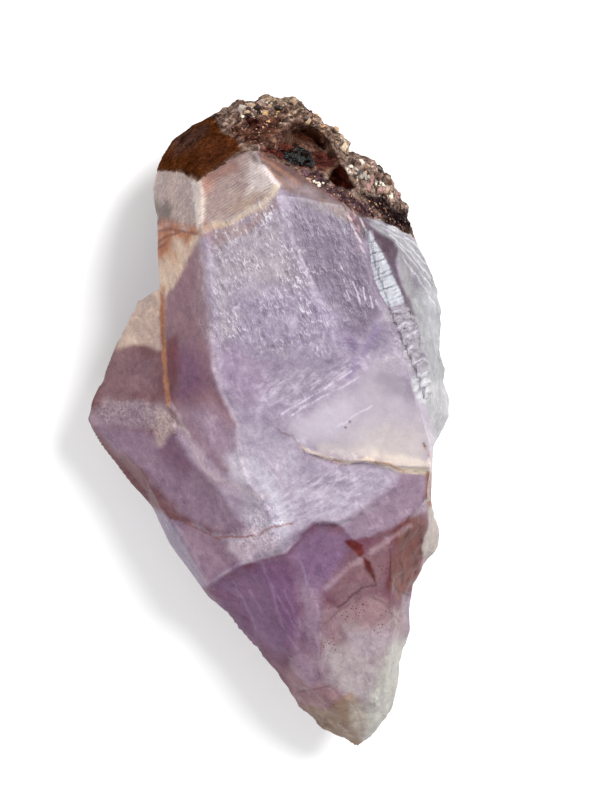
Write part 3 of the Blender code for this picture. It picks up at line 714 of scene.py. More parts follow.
# %% Patches of colour
QUARTZ = (148, 137, 151)
PATCHES = {
    "prism facet": ((142, 108, 116), 3, 1, 1.0, [
        (196, 232), (206, 250), (208, 290), (211, 330), (213, 365), (221, 395), (236, 425), (240, 452),
        (225, 476), (205, 456), (185, 430), (166, 406), (163, 380), (162, 330), (161, 295), (170, 270),
        (182, 250)]),
    "prism foot": ((171, 148, 164), 14, 3, 0.9, [
        (185, 412), (212, 405), (235, 430), (240, 452), (228, 470), (205, 452)]),
    "column foot": ((213, 204, 213), 5, 3, 0.8, [
        (220, 456), (236, 450), (250, 476), (257, 496), (240, 486), (228, 474)]),
    "prism violet": ((115, 75, 103), 12, 5, 0.9, [
        (176, 350), (195, 343), (207, 365), (202, 388), (190, 402), (176, 400), (172, 374)]),
    "prism seam side": ((93, 20, 21), 5, 2, 0.75, [
        (163, 340), (176, 334), (181, 352), (177, 380), (170, 406), (165, 400)]),
    "right of the ridge": ((97, 82, 101), 8, 3, 0.9, [
        (300, 196), (345, 213), (360, 226), (372, 270), (380, 310), (366, 334), (335, 345), (322, 320),
        (310, 280), (295, 245), (285, 215)]),
    "etched centre": ((163, 155, 159), 12, 8, 0.8, [
        (205, 240), (240, 222), (270, 200), (285, 230), (300, 270), (322, 320), (330, 345), (300, 350),
        (270, 350), (240, 345), (217, 330), (210, 280)]),
    "pink corner": ((155, 133, 129), 5, 4, 0.7, [
        (203, 232), (226, 226), (250, 218), (272, 200), (280, 204), (262, 224), (236, 238), (214, 250),
        (206, 250)]),
    "etched lower": ((149, 138, 157), 14, 6, 0.8, [
        (232, 290), (270, 282), (318, 290), (344, 320), (350, 350), (320, 356), (270, 354), (234, 350)]),
    "violet right": ((114, 103, 119), 8, 4, 0.8, [
        (366, 334), (384, 318), (394, 330), (402, 352), (404, 366), (392, 360), (378, 358), (366, 350)]),
    "rosy left": ((157, 140, 159), 12, 6, 0.8, [
        (214, 345), (240, 350), (262, 365), (275, 390), (260, 412), (240, 414), (222, 392)]),
    "blotch above": ((104, 85, 117), 6, 3, 0.8, [
        (345, 336), (353, 334), (362, 342), (356, 352), (346, 350)]),
    "blotch below": ((97, 81, 111), 5, 3, 0.8, [(326, 362), (334, 360), (338, 370), (330, 374)]),
    "pale centre": ((154, 142, 157), 12, 8, 0.8, [
        (240, 400), (275, 398), (310, 392), (340, 376), (360, 366), (375, 354), (394, 352), (390, 366),
        (330, 400), (280, 424), (244, 424)]),
    "milky foot": ((176, 166, 176), 20, 5, 0.95, [
        (282, 428), (300, 412), (330, 400), (360, 382), (392, 356), (408, 374), (419, 400), (427, 430),
        (433, 458), (433, 471), (410, 465), (380, 459), (350, 459), (320, 450), (295, 442)]),
    "milky top": ((144, 135, 146), 9, 4, 0.8, [
        (378, 366), (392, 356), (404, 366), (412, 386), (404, 398), (388, 392), (376, 380)]),
    "milky left": ((193, 184, 196), 12, 4, 0.8, [
        (296, 424), (318, 408), (340, 396), (356, 396), (350, 420), (330, 440), (306, 440)]),
    "milky low": ((201, 191, 183), 18, 4, 0.6, [
        (340, 448), (362, 436), (392, 424), (424, 436), (434, 471), (410, 466), (380, 460), (355, 459)]),
    "side crystal": ((114, 78, 80), 2, 2, 1.0, [
        (60, 290), (163, 290), (165, 345), (167, 400), (185, 430), (205, 456), (222, 480), (242, 492),
        (258, 498), (270, 512), (272, 534), (240, 536), (210, 532), (184, 522), (172, 520), (120, 480),
        (70, 430)]),
    "side tan": ((194, 172, 155), 4, 3, 1.0, [
        (162, 285), (164, 310), (165, 349), (150, 347), (136, 343), (118, 350), (104, 348), (118, 325),
        (124, 300), (138, 290), (152, 286)]),
    "side rim": ((115, 79, 69), 5, 3, 0.6, [
        (108, 350), (118, 346), (100, 392), (92, 410), (84, 410), (88, 385)]),
    "side upper": ((129, 100, 104), 8, 5, 0.8, [
        (104, 352), (136, 350), (160, 356), (160, 392), (120, 398), (96, 400)]),
    "side frost": ((153, 134, 139), 7, 5, 0.9, [
        (84, 408), (110, 401), (140, 400), (165, 401), (173, 415), (165, 430), (140, 424), (110, 426),
        (92, 424)]),
    "side violet": ((142, 119, 134), 6, 4, 1.0, [
        (92, 424), (110, 428), (140, 427), (156, 440), (168, 434), (182, 444), (196, 462), (206, 478),
        (218, 486), (232, 500), (244, 516), (250, 534), (235, 537), (215, 532), (198, 524), (180, 512),
        (165, 497), (150, 482), (138, 467), (120, 450), (100, 434)]),
    "side dark": ((118, 87, 104), 11, 5, 0.8, [
        (160, 436), (170, 430), (184, 448), (196, 464), (188, 476), (172, 470), (160, 456)]),
    "pale triangle": ((177, 155, 148), 4, 2, 0.95, [
        (160, 410), (172, 415), (184, 428), (171, 431), (163, 443), (156, 447), (154, 432), (157, 420)]),
    "side grey": ((173, 158, 174), 3, 2, 0.95, [
        (218, 484), (232, 485), (242, 491), (256, 497), (266, 503), (271, 516), (272, 533), (262, 536),
        (250, 535), (240, 521), (228, 506)]),
    # seam glow: a painted glow, a pale band of light along the seam below the prism facet
    "seam glow": ((197, 177, 192), 4, 2, 0.8, [
        (174, 424), (186, 434), (200, 450), (212, 464), (226, 476), (242, 486), (256, 500), (244, 500),
        (226, 492), (208, 480), (192, 458), (180, 442)]),
    "grey bloom": ((212, 204, 211), 6, 3, 0.7, [
        (240, 510), (258, 508), (266, 520), (262, 530), (248, 528)]),
    "lower side": ((146, 121, 135), 3, 2, 1.0, [
        (172, 520), (184, 522), (202, 532), (222, 541), (242, 544), (256, 552), (238, 560), (224, 572),
        (208, 586), (194, 562), (184, 542)]),
    "frost patch": ((198, 182, 190), 6, 6, 0.9, [
        (230, 538), (255, 531), (275, 527), (284, 538), (272, 550), (256, 558), (242, 560), (232, 552)]),
    "chevron facet": ((159, 135, 124), 3, 2, 1.0, [
        (146, 160), (165, 165), (180, 169), (195, 171), (198, 185), (198, 215), (200, 229), (180, 231),
        (158, 229), (140, 225), (140, 182)]),
    "chevron corner brown": ((73, 39, 19), 5, 5, 0.9, [
        (148, 198), (168, 202), (176, 224), (160, 229), (150, 226)]),
    "striated facets": ((154, 135, 128), 3, 2, 1.0, [
        (196, 176), (212, 170), (230, 161), (247, 150), (258, 150), (264, 165), (278, 182), (276, 190),
        (262, 205), (240, 214), (222, 223), (200, 229)]),
    "red blush": ((179, 137, 119), 6, 3, 0.85, [
        (200, 180), (214, 172), (218, 178), (216, 188), (206, 198), (201, 192)]),
    "upper blush": ((132, 96, 87), 4, 3, 0.8, [
        (206, 176), (222, 166), (236, 160), (238, 168), (224, 176), (210, 186)]),
    "chevron peak": ((197, 188, 179), 5, 3, 0.9, [
        (250, 160), (258, 156), (266, 170), (274, 181), (268, 190), (255, 190), (246, 200), (248, 184)]),
    "corner white": ((233, 216, 197), 2, 2, 0.9, [
        (193, 179), (201, 180), (204, 200), (205, 222), (199, 228), (196, 212), (194, 195)]),
    "chevron stain": ((157, 136, 118), 7, 5, 0.85, [
        (238, 205), (256, 192), (270, 188), (263, 200), (248, 208), (232, 214)]),
    "lilac band": ((123, 93, 69), 4, 3, 0.9, [
        (262, 152), (290, 168), (320, 182), (345, 202), (356, 222), (346, 219), (328, 206), (300, 196),
        (280, 188)]),
    "lilac flecks": ((120, 110, 113), 3, 4, 0.6, [
        (286, 186), (306, 190), (330, 201), (352, 216), (346, 225), (322, 213), (300, 203), (286, 197)]),
    "red corner": ((76, 60, 67), 4, 3, 0.8, [
        (348, 206), (362, 212), (374, 220), (372, 236), (362, 240), (352, 226)]),
    "salmon band": ((179, 138, 108), 8, 4, 0.7, [
        (262, 160), (280, 168), (300, 178), (292, 184), (276, 178), (266, 172)]),
    "brown fringe": ((90, 78, 75), 3, 3, 0.85, [
        (250, 150), (266, 154), (280, 161), (298, 169), (312, 177), (326, 186), (342, 196), (352, 208),
        (342, 207), (322, 200), (304, 191), (286, 180), (270, 168), (256, 160)]),
    "orange block": ((210, 186, 161), 3, 3, 1.0, [
        (140, 226), (180, 229), (202, 231), (193, 250), (184, 270), (176, 286), (168, 296), (162, 302),
        (146, 290), (146, 250)]),
    "orange stain": ((161, 85, 30), 10, 9, 0.9, [
        (150, 226), (175, 224), (198, 226), (204, 232), (192, 241), (174, 242), (170, 254), (160, 266),
        (152, 262)]),
    "clear band": ((141, 142, 142), 2, 1, 1.0, [
        (366, 210), (380, 214), (396, 224), (470, 236), (470, 430), (440, 440), (431, 420), (424, 392),
        (418, 360), (411, 330), (404, 301), (400, 265), (386, 240), (372, 226)]),
    "clear foot": ((172, 174, 171), 6, 4, 0.9, [
        (424, 380), (470, 380), (470, 440), (440, 446), (432, 425)]),
    "clear bright": ((161, 163, 163), 5, 3, 0.8, [
        (424, 290), (440, 290), (446, 330), (440, 350), (428, 330)]),
    "clear dim": ((131, 128, 130), 4, 2, 0.8, [
        (396, 246), (412, 256), (420, 280), (412, 300), (404, 280)]),
    "dark wedge": ((78, 61, 72), 2, 1, 1.0, [
        (370, 227), (380, 233), (394, 241), (399, 250), (396, 262), (399, 275), (407, 296), (416, 316),
        (410, 315), (404, 302), (390, 268), (380, 249)]),
    "strip": ((179, 184, 186), 1.0, 0.3, 1.0, [
        (365, 229), (370, 232), (380, 249), (390, 268), (404, 300), (403, 304), (387, 308), (382, 297),
        (374, 280), (370, 260)]),
    "broken steps": ((153, 149, 153), 3, 3, 0.95, [
        (384, 308), (404, 303), (414, 314), (424, 340), (429, 372), (412, 376), (402, 350), (392, 326)]),
    "bright steps": ((184, 186, 186), 1.5, 1, 0.95, [
        (412, 376), (427, 370), (430, 385), (429, 400), (419, 403), (414, 388)]),
    "lower front": ((165, 151, 164), 3, 2, 1.0, [
        (240, 450), (262, 432), (290, 445), (320, 455), (350, 461), (375, 458), (395, 465), (432, 473),
        (433, 512), (420, 510), (400, 517), (375, 524), (350, 532), (330, 524), (300, 530), (286, 540),
        (272, 534), (268, 505), (255, 496), (243, 490)]),
    "milky fibres": ((163, 156, 167), 14, 6, 0.9, [
        (238, 430), (262, 425), (290, 445), (320, 464), (345, 467), (375, 464), (393, 472), (383, 487),
        (360, 500), (345, 513), (325, 520), (300, 527), (285, 537), (272, 532), (268, 505), (255, 495),
        (243, 470)]),
    "pale column": ((186, 183, 190), 11, 4, 0.9, [
        (240, 452), (262, 470), (276, 490), (286, 510), (286, 532), (274, 534), (270, 512), (256, 497),
        (243, 482)]),
    "mottled violet": ((123, 108, 126), 12, 8, 0.7, [
        (318, 468), (350, 474), (345, 492), (322, 492), (306, 480)]),
    "violet band": ((138, 118, 132), 5, 4, 0.95, [
        (346, 524), (362, 510), (376, 501), (388, 494), (395, 486), (400, 476), (415, 471), (431, 473),
        (432, 500), (424, 512), (404, 524), (380, 534), (352, 540)]),
    "edge rust": ((127, 86, 61), 2, 1, 0.9, [(427, 474), (437, 474), (438, 512), (428, 514), (426, 500)]),
    "root": ((103, 62, 75), 2, 1, 1.0, [
        (195, 590), (210, 585), (236, 568), (263, 559), (286, 552), (300, 534), (314, 523), (330, 523),
        (344, 528), (351, 539), (372, 536), (394, 528), (412, 518), (436, 506), (470, 560), (470, 780),
        (260, 780)]),
    "root middle": ((118, 91, 117), 12, 5, 0.95, [
        (286, 552), (301, 533), (322, 524), (344, 530), (352, 546), (340, 572), (325, 592), (308, 604),
        (300, 590), (292, 570)]),
    "root violet": ((122, 89, 119), 12, 5, 0.95, [
        (206, 584), (236, 567), (263, 559), (284, 554), (294, 580), (304, 604), (310, 630), (296, 655),
        (275, 655), (250, 632), (226, 606)]),
    "root left edge": ((120, 92, 122), 12, 4, 0.7, [
        (205, 590), (222, 598), (262, 655), (280, 690), (262, 690)]),
    "root lilac": ((138, 116, 131), 8, 5, 0.8, [
        (300, 578), (318, 592), (328, 612), (328, 640), (320, 654), (308, 650), (301, 630), (302, 604)]),
    "root foot": ((159, 135, 150), 8, 4, 0.8, [
        (296, 640), (312, 650), (322, 664), (322, 684), (312, 694), (300, 690), (292, 668)]),
    "peach stain": ((120, 89, 94), 11, 5, 0.9, [
        (350, 560), (375, 545), (396, 528), (394, 560), (386, 592), (360, 600), (345, 612), (334, 600),
        (332, 588)]),
    "red-brown": ((100, 51, 41), 6, 4, 0.95, [
        (396, 532), (408, 521), (424, 514), (426, 545), (421, 575), (412, 593), (401, 601), (392, 586),
        (390, 560)]),
    "pink": ((144, 127, 126), 10, 6, 0.9, [
        (348, 604), (385, 602), (406, 611), (409, 636), (395, 657), (360, 652), (338, 642)]),
    "pink top": ((144, 113, 116), 7, 5, 0.8, [
        (344, 600), (366, 592), (386, 600), (388, 618), (366, 628), (345, 622)]),
    "pink low": ((165, 151, 156), 8, 4, 0.8, [
        (345, 630), (372, 626), (395, 634), (396, 652), (372, 660), (350, 652)]),
    "speckled vein": ((136, 110, 116), 5, 4, 0.8, [
        (322, 614), (334, 606), (342, 612), (336, 630), (330, 652), (322, 656), (320, 636)]),
    "pale bottom": ((161, 152, 151), 14, 6, 0.9, [
        (322, 642), (345, 650), (400, 658), (396, 700), (376, 716), (350, 700), (328, 690), (318, 664)]),
    "green-white edge": ((168, 168, 157), 8, 4, 0.95, [
        (396, 642), (420, 630), (424, 680), (400, 745), (372, 760), (360, 752), (361, 732), (364, 706),
        (374, 682), (384, 660)]),
    "lilac rim": ((142, 128, 138), 5, 3, 0.9, [
        (405, 594), (426, 584), (428, 642), (412, 648), (405, 634)]),
    "tip blush": ((147, 116, 117), 6, 4, 0.8, [
        (288, 676), (310, 688), (330, 690), (338, 700), (330, 709), (312, 711), (298, 706)]),
    "beige tip": ((134, 113, 93), 4, 4, 0.95, [
        (288, 702), (302, 706), (320, 710), (331, 708), (339, 699), (350, 695), (359, 699), (363, 708),
        (362, 730), (362, 750), (350, 766), (326, 758), (290, 724)]),
    "tip light": ((164, 157, 144), 5, 3, 0.8, [
        (350, 700), (362, 704), (366, 722), (360, 736), (350, 726)]),
    "pale slab": ((165, 157, 146), 2, 2, 1.0, [
        (428, 498), (450, 505), (450, 545), (437, 562), (424, 578), (423, 546), (427, 515)]),
    "first red drop": ((88, 22, 20), 1.5, 0.5, 1.0, [
        (344, 541), (352, 539), (362, 544), (364, 553), (360, 558), (355, 551), (347, 546)]),
    "second red drop": ((75, 10, 6), 1.5, 0.5, 1.0, [
        (363, 557), (370, 561), (375, 574), (376, 584), (371, 576), (365, 568)]),
}
ORE = {
    "rough ore": ((102, 88, 81), 3, 3, 1.0, CROWN),
    "tan crust": ((101, 85, 76), 5, 8, 0.9, [
        (228, 120), (240, 104), (262, 96), (300, 96), (330, 116), (355, 140), (345, 150), (330, 138),
        (310, 128), (290, 118), (270, 112), (250, 120), (236, 124)]),
    "red-brown slope": ((55, 30, 21), 4, 6, 0.9, [
        (222, 128), (236, 122), (262, 120), (284, 118), (290, 122), (276, 134), (262, 146), (248, 148),
        (236, 142)]),
    "pale cluster": ((142, 120, 112), 3, 5, 0.8, [
        (229, 116), (236, 106), (246, 100), (262, 100), (266, 108), (252, 114), (242, 119)]),
    "purple lump": ((34, 7, 6), 3, 3, 0.9, [(244, 114), (252, 112), (261, 116), (260, 127), (248, 128)]),
    "dark top": ((98, 88, 76), 3, 4, 0.8, [
        (268, 92), (290, 92), (312, 102), (300, 104), (284, 102), (270, 104)]),
    "brown hollow": ((81, 60, 51), 3, 3, 0.95, [
        (262, 148), (272, 138), (288, 124), (302, 120), (320, 128), (334, 146), (342, 160), (340, 168),
        (326, 172), (308, 168), (290, 164), (274, 156)]),
    "hollow brown": ((49, 16, 6), 5, 5, 0.8, [
        (296, 128), (312, 128), (324, 142), (318, 150), (302, 146), (292, 138)]),
    "thin arch": ((58, 40, 38), 1.5, 1, 0.8, [
        (276, 136), (285, 128), (297, 120), (308, 125), (314, 132), (304, 128), (296, 125), (286, 134),
        (278, 140)]),
    "red spots": ((79, 38, 30), 2, 2, 0.95, [(277, 143), (284, 142), (293, 146), (292, 150), (279, 149)]),
    "red lip": ((54, 13, 14), 2, 2, 0.8, [
        (260, 146), (274, 149), (286, 156), (284, 161), (270, 156), (259, 151)]),
    "rose lower edge": ((56, 22, 20), 3, 3, 0.85, [
        (312, 153), (326, 152), (338, 160), (334, 168), (318, 168), (300, 170), (288, 165), (300, 164),
        (312, 162)]),
    "black beads": ((3, 3, 3), 2, 2, 0.95, [
        (277, 149), (290, 151), (300, 147), (310, 155), (313, 165), (300, 166), (286, 160)]),
    "near-black wedge": ((22, 5, 3), 1.5, 1, 1.0, [
        (331, 170), (339, 163), (346, 170), (356, 188), (350, 191), (336, 187), (328, 180)]),
    "sparkling red": ((58, 41, 48), 2, 3, 0.9, [
        (300, 170), (318, 172), (330, 184), (350, 192), (368, 204), (380, 218), (364, 216), (350, 206),
        (334, 197), (318, 187), (302, 177)]),
    "tooth": ((146, 134, 118), 2, 2, 0.9, [(336, 136), (346, 138), (354, 144), (350, 153), (342, 152)]),
    "shoulder": ((119, 104, 97), 4, 5, 0.95, [
        (346, 154), (362, 154), (378, 160), (390, 172), (400, 196), (386, 196), (372, 190), (362, 190),
        (354, 182), (347, 168)]),
    "white streak": ((56, 48, 44), 3, 5, 0.8, [
        (360, 168), (370, 170), (382, 178), (390, 192), (378, 190), (366, 186), (360, 178)]),
    "dark shoulder": ((15, 5, 9), 4, 6, 0.95, [
        (358, 192), (372, 192), (392, 198), (404, 208), (414, 234), (400, 230), (386, 222), (374, 212),
        (364, 200)]),
    "left facet": ((67, 35, 15), 3, 2, 1.0, GLOSSY),
    "left facet red": ((54, 28, 18), 8, 8, 0.6, [
        (190, 150), (220, 140), (240, 152), (215, 168), (200, 174)]),
    "left facet dark": ((61, 43, 37), 6, 5, 0.8, [
        (168, 140), (190, 128), (205, 124), (212, 134), (196, 146), (172, 158)]),
    "left rim": ((100, 78, 66), 1.5, 2, 0.6, [
        (150, 160), (158, 146), (176, 128), (205, 112), (200, 117), (170, 136)]),
}
BACK_ORE = (96, 70, 58)
BACK_QUARTZ = (146, 128, 142)
BACK_CLOUDS = [
    ((112, 84, 118), 16.0, 0.8), ((184, 172, 178), 9.0, 0.8), ((134, 106, 90), 12.0, 0.9),
    ((104, 62, 46), 4.0, 0.5),
]
SHAKY, SHAKE_SIZE = 0.9, 1.6
BREAK_SIZE = 2.5
LINE_CORE = 0.4


def glaze(below, colour, share):
    """The colour below, covered by `share` of the new one."""
    return below + (linear(colour) - below) * share[:, None]


def one_colour(colour):
    """The same colour for every point of the stone."""
    return np.tile(linear(colour), (len(points), 1))


front = one_colour(QUARTZ)
for seed, (colour, soft, ragged, hides, outline) in enumerate(PATCHES.values(), start=100):
    front = glaze(front, colour, hides * patch(spots, points, outline, soft, ragged, seed))
ore = one_colour(BACK_ORE)
for seed, (colour, soft, ragged, hides, outline) in enumerate(ORE.values(), start=200):
    ore = glaze(ore, colour, hides * patch(spots, points, outline, soft, ragged, seed) * painted)
wobble = np.stack([noise(points, SHAKE_SIZE, 7), noise(points, SHAKE_SIZE, 8)], axis=1)
unbroken = smooth(-0.7, -0.1, waves(points, BREAK_SIZE, 9))
for colour, half, soft, hides, lines in LINES.values():
    away = from_lines(spots + SHAKY * wobble, lines, half + soft + 1.0)
    front = glaze(front, colour, hides * unbroken * smooth(half + soft, half - LINE_CORE, away))
back = one_colour(BACK_QUARTZ)
for seed, (colour, size, hides) in enumerate(BACK_CLOUDS, start=3):
    back = glaze(back, colour, hides * smooth(0.0, 0.45, waves(points, size, seed)))
tint = back + (front - back) * painted[:, None]
tint = tint + (ore - tint) * crown[:, None]
print("painted", len(PATCHES) + len(ORE), "patches and", len(LINES), "kinds of line")

# %% [markdown]
# Now the surface gets its shape at the scale of a millimetre. Broken quartz is never flat: it swells and
# dips, its ridges are chipped and a little round, its root breaks in shells, and acid has eaten short
# slanted wrinkles into the broad face. The ore of the crown is a crust of grains. Each of these is a height
# of so many millimetres times a pattern. All of it is moved along the normals in one step, and nothing may
# pass the CAD's box.

# %% Roughen the surface
WORN = 0.6
ROUND_STEPS = 16
ROUND_TOP = (0.15, 0.55)
RIDGES_ROUNDED = 0.8
SWELL, SWELL_SIZE = 0.09, 7.0
DIMPLE, DIMPLE_SIZE = 0.06, 1.9
SHELLS, SHELL_SIZES = 0.45, (7.0, 3.0)
BACK_SWELL, BACK_SWELL_SIZE = 0.50, 9.0
WRINKLE, WRINKLE_SIZE = 0.07, (3.2, 1.1, 2.0)
WRINKLE_ALONG = (0.40, -0.92)
CRUST_BUMP, CRUST_SIZES = 0.75, (2.8, 1.3)
GLOSSY_CALM = 0.9
ROUGH, ROUGH_SIZE = 0.45, 2.6
STEPS, STEP_LENGTH = 0.45, 2.1
STEP_ACROSS = (0.35, -0.93, 0.0)
STEP_BENT, STEP_BENDS = 0.5, 2.5
CHIP, CHIP_SIZE = 0.40, 2.4


def along_and_across(places, direction, length, width, depth):
    """Places measured along and across a direction on the front, in units of `length`, `width` and
    `depth`."""
    x, y = direction
    along = places[:, 0] * x + places[:, 1] * y
    across = places[:, 0] * y - places[:, 1] * x
    return np.stack([along / length, across / width, places[:, 2] / depth], axis=1)


rounded = np.maximum(masks["root"], RIDGES_ROUNDED * masks["soft ridge"])
rounded = rounded * smooth(*ROUND_TOP, normals[:, 2])
worn = points + WORN * ridge[:, None] * (neighbour_mean(points, faces) - points)
for step in range(ROUND_STEPS):
    worn += WORN * rounded[:, None] * (neighbour_mean(worn, faces) - worn)
lift = SWELL * waves(worn, SWELL_SIZE, 21)
lift += DIMPLE * (1.0 - crown) * (1.0 - masks["etched"]) * waves(worn, DIMPLE_SIZE, 28)
wide, narrow = (np.abs(noise(worn, size, seed)) for size, seed in zip(SHELL_SIZES, (29, 30)))
lift += SHELLS * masks["root"] * (wide + 0.5 * narrow - 0.4)
lift += BACK_SWELL * facing_down * waves(worn, BACK_SWELL_SIZE, 22)
stretched = along_and_across(worn, WRINKLE_ALONG, *WRINKLE_SIZE)
wrinkles = 1.0 - np.abs(noise(stretched, 1.0, 20)) * 2.0
lift += WRINKLE * masks["etched"] * wrinkles
rugged = crown * (1.0 - GLOSSY_CALM * masks["glossy"])
large, small = (grains(worn, size, seed) for size, seed in zip(CRUST_SIZES, (23, 24)))
lift += CRUST_BUMP * rugged * (large + 0.6 * small - 0.75)
lift += ROUGH * masks["rough"] * waves(worn, ROUGH_SIZE, 25)
stairs = worn @ np.array(STEP_ACROSS) / STEP_LENGTH + STEP_BENT * noise(worn, STEP_BENDS, 26)
lift += STEPS * masks["steps"] * (stairs % 1.0 - 0.5)
lift -= CHIP * ridge * (1.0 - crown) * smooth(0.05, 0.6, noise(worn, CHIP_SIZE, 27))
shaped = (worn + lift[:, None] * normals).clip(LOW, HIGH)
print("moved by up to", round(float(np.abs(shaped - points).max()), 2), "mm")

# %% [markdown]
# What is finer than the triangles is worked by the materials. Each effect is a node group, so both the
# quartz and the ore can use it: a wrinkled skin, ruled growth lines, fine grain, clouds and specks. They
# all read Object coordinates, which are metres here, so a pattern has the same size from every side and
# doesn't slide. The helpers below make one node or one small sum of nodes each, so that an effect reads
# like a formula.

# %% Node helpers
COLOURS = ("Color", "Tint", "Dark", "Pale", "Speck")
KINDS = dict.fromkeys(COLOURS, "NodeSocketColor") | {"Place": "NodeSocketVector"}


def feed(tree, node, inputs):
    """Fills inputs of a node, by their name or number: a socket is linked to them, and a plain value is
    set."""
    for name, value in inputs.items():
        if isinstance(value, bpy.types.NodeSocket):
            tree.links.new(value, node.inputs[name])
        else:
            node.inputs[name].default_value = value
    return node


def add(tree, kind, inputs, **settings):
    """A new node with these settings and inputs."""
    made = tree.nodes.new(kind)
    for name, value in settings.items():
        setattr(made, name, value)
    return feed(tree, made, inputs)


def maths(tree, operation, one, two=0.0, three=0.0):
    """One step of arithmetic, such as MULTIPLY_ADD for one * two + three."""
    return add(tree, "ShaderNodeMath", {0: one, 1: two, 2: three}, operation=operation).outputs[0]


def times(tree, *values):
    """All the values multiplied."""
    total = values[0]
    for value in values[1:]:
        total = maths(tree, "MULTIPLY", total, value)
    return total


def ramp(tree, value, low, high, at_low=0.0, at_high=1.0):
    """Goes evenly from at_low to at_high while the value goes from low to high, and stays there beyond."""
    inputs = {0: value, 1: low, 2: high, 3: at_low, 4: at_high}
    return add(tree, "ShaderNodeMapRange", inputs).outputs[0]


def blend_colour(tree, share, below, above, way="MIX"):
    """The colour above laid on the one below."""
    inputs = {0: share, 6: below, 7: above}
    return add(tree, "ShaderNodeMix", inputs, data_type="RGBA", blend_type=way).outputs[2]


def times_colour(tree, one, two):
    """Two colours multiplied."""
    return blend_colour(tree, 1.0, one, two, "MULTIPLY")


def scale_for(tree, size):
    """The Scale of a texture whose cells are so many millimetres wide: 1 over their width in metres."""
    if isinstance(size, bpy.types.NodeSocket):
        return maths(tree, "DIVIDE", 1.0 / MM, size)
    return 1.0 / (size * MM)


def noise_node(tree, place, size, detail=3.0, rough=0.55, bent=0.0, output=0):
    """Blender's noise with cells of so many millimetres, which lies around 0.5."""
    inputs = {"Vector": place, "Scale": scale_for(tree, size), "Detail": detail, "Roughness": rough}
    return add(tree, "ShaderNodeTexNoise", inputs | {"Distortion": bent}).outputs[output]


def cells_node(tree, place, size):
    """Scattered points about so many millimetres apart, with the distance to the nearest and its random
    colour."""
    inputs = {"Vector": place, "Scale": scale_for(tree, size), "Randomness": 1.0}
    return add(tree, "ShaderNodeTexVoronoi", inputs).outputs


def folded(tree, value):
    """How far a noise is from its middle value, 0.5."""
    return maths(tree, "ABSOLUTE", maths(tree, "SUBTRACT", value, 0.5))


def turned_place(tree, place, direction, stretch):
    """A place turned so that x runs along `direction` on the front, and squeezed along it."""
    angle = math.atan2(direction[1], direction[0])
    inputs = {"Vector": place, "Rotation": (0.0, 0.0, angle), "Scale": (stretch, 1.0, 1.0)}
    return add(tree, "ShaderNodeMapping", inputs, vector_type="TEXTURE").outputs[0]


def as_group(build, inputs, outputs):
    """A node group that takes the place of the point and these inputs, and gives what `build` makes of
    them."""
    tree = bpy.data.node_groups.new(build.__name__.replace("_", " ").capitalize(), "ShaderNodeTree")
    inputs = ("Place", *inputs)
    for in_out, names in (("INPUT", inputs), ("OUTPUT", outputs)):
        for name in names:
            tree.interface.new_socket(name, in_out=in_out, socket_type=KINDS.get(name, "NodeSocketFloat"))
    given = tree.nodes.new("NodeGroupInput").outputs
    made = build(tree, *[given[name] for name in inputs])
    feed(tree, tree.nodes.new("NodeGroupOutput"), dict(zip(outputs, made)))
    return tree


print("colour sockets:", ", ".join(COLOURS))

# %% [markdown]
# Each effect is a function of its group's inputs, in their order, and gives its outputs. Where it says
# `where`, that is the mask that switches it on. Many have crowds: a wider noise that makes them thick in
# some places and thin in others, because nothing in a stone is spread evenly.

# %% Effects as node groups
WRINKLE_STRETCH = 2.3
FIBRES_ALONG, FIBRE_STRETCH = (0.85, 0.53), 2.6
HAIRS_ALONG, HAIR_STRETCH = (0.42, -0.91), 3.5
WHITE = (1.0, 1.0, 1.0, 1.0)
CELL_BENT = 0.7


def wrinkled_skin(tree, place, where):
    """Short slanted wrinkles: noise stretched along one direction, folded at its middle so that it has
    crests. Crest is where they stand highest, with gaps, and Pit is where they lie deepest."""
    along = turned_place(tree, place, WRINKLE_ALONG, WRINKLE_STRETCH)
    coarse, fine = (folded(tree, noise_node(tree, along, size, 2.0)) for size in (1.35, 0.55))
    height = maths(tree, "SUBTRACT", 0.30, maths(tree, "MULTIPLY_ADD", fine, 0.5, coarse))
    crowds = ramp(tree, noise_node(tree, place, 5.0), 0.36, 0.62, 0.25, 1.0)
    share = times(tree, crowds, where)
    gaps = ramp(tree, noise_node(tree, place, 1.2, 2.0), 0.42, 0.56)
    crest = times(tree, ramp(tree, height, 0.21, 0.285), gaps)
    pit = ramp(tree, height, 0.03, 0.15, 1.0, 0.0)
    return [times(tree, value, share) for value in (height, crest, pit)]


def ruled_lines(tree, place, where, turns):
    """Straight growth lines: a sine wave over the number of turns. A wide noise bends it a little, and
    another one lets the lines fade out in places."""
    bent = maths(tree, "MULTIPLY_ADD", noise_node(tree, place, 6.0, 1.0), 0.8, turns)
    wave = maths(tree, "SINE", times(tree, bent, 2.0 * math.pi))
    fade = ramp(tree, noise_node(tree, place, 2.6), 0.40, 0.60, 0.05, 1.0)
    return [times(tree, wave, times(tree, fade, where))]


def cloudy_tint(tree, place, tint, dark, pale, size):
    """Clouds in a colour: noise multiplies it by the Dark colour, by the Pale one, or by something in
    between."""
    share = ramp(tree, noise_node(tree, place, size, 5.0, 0.6, 0.5), 0.30, 0.70)
    return times_colour(tree, tint, blend_colour(tree, share, dark, pale)), share


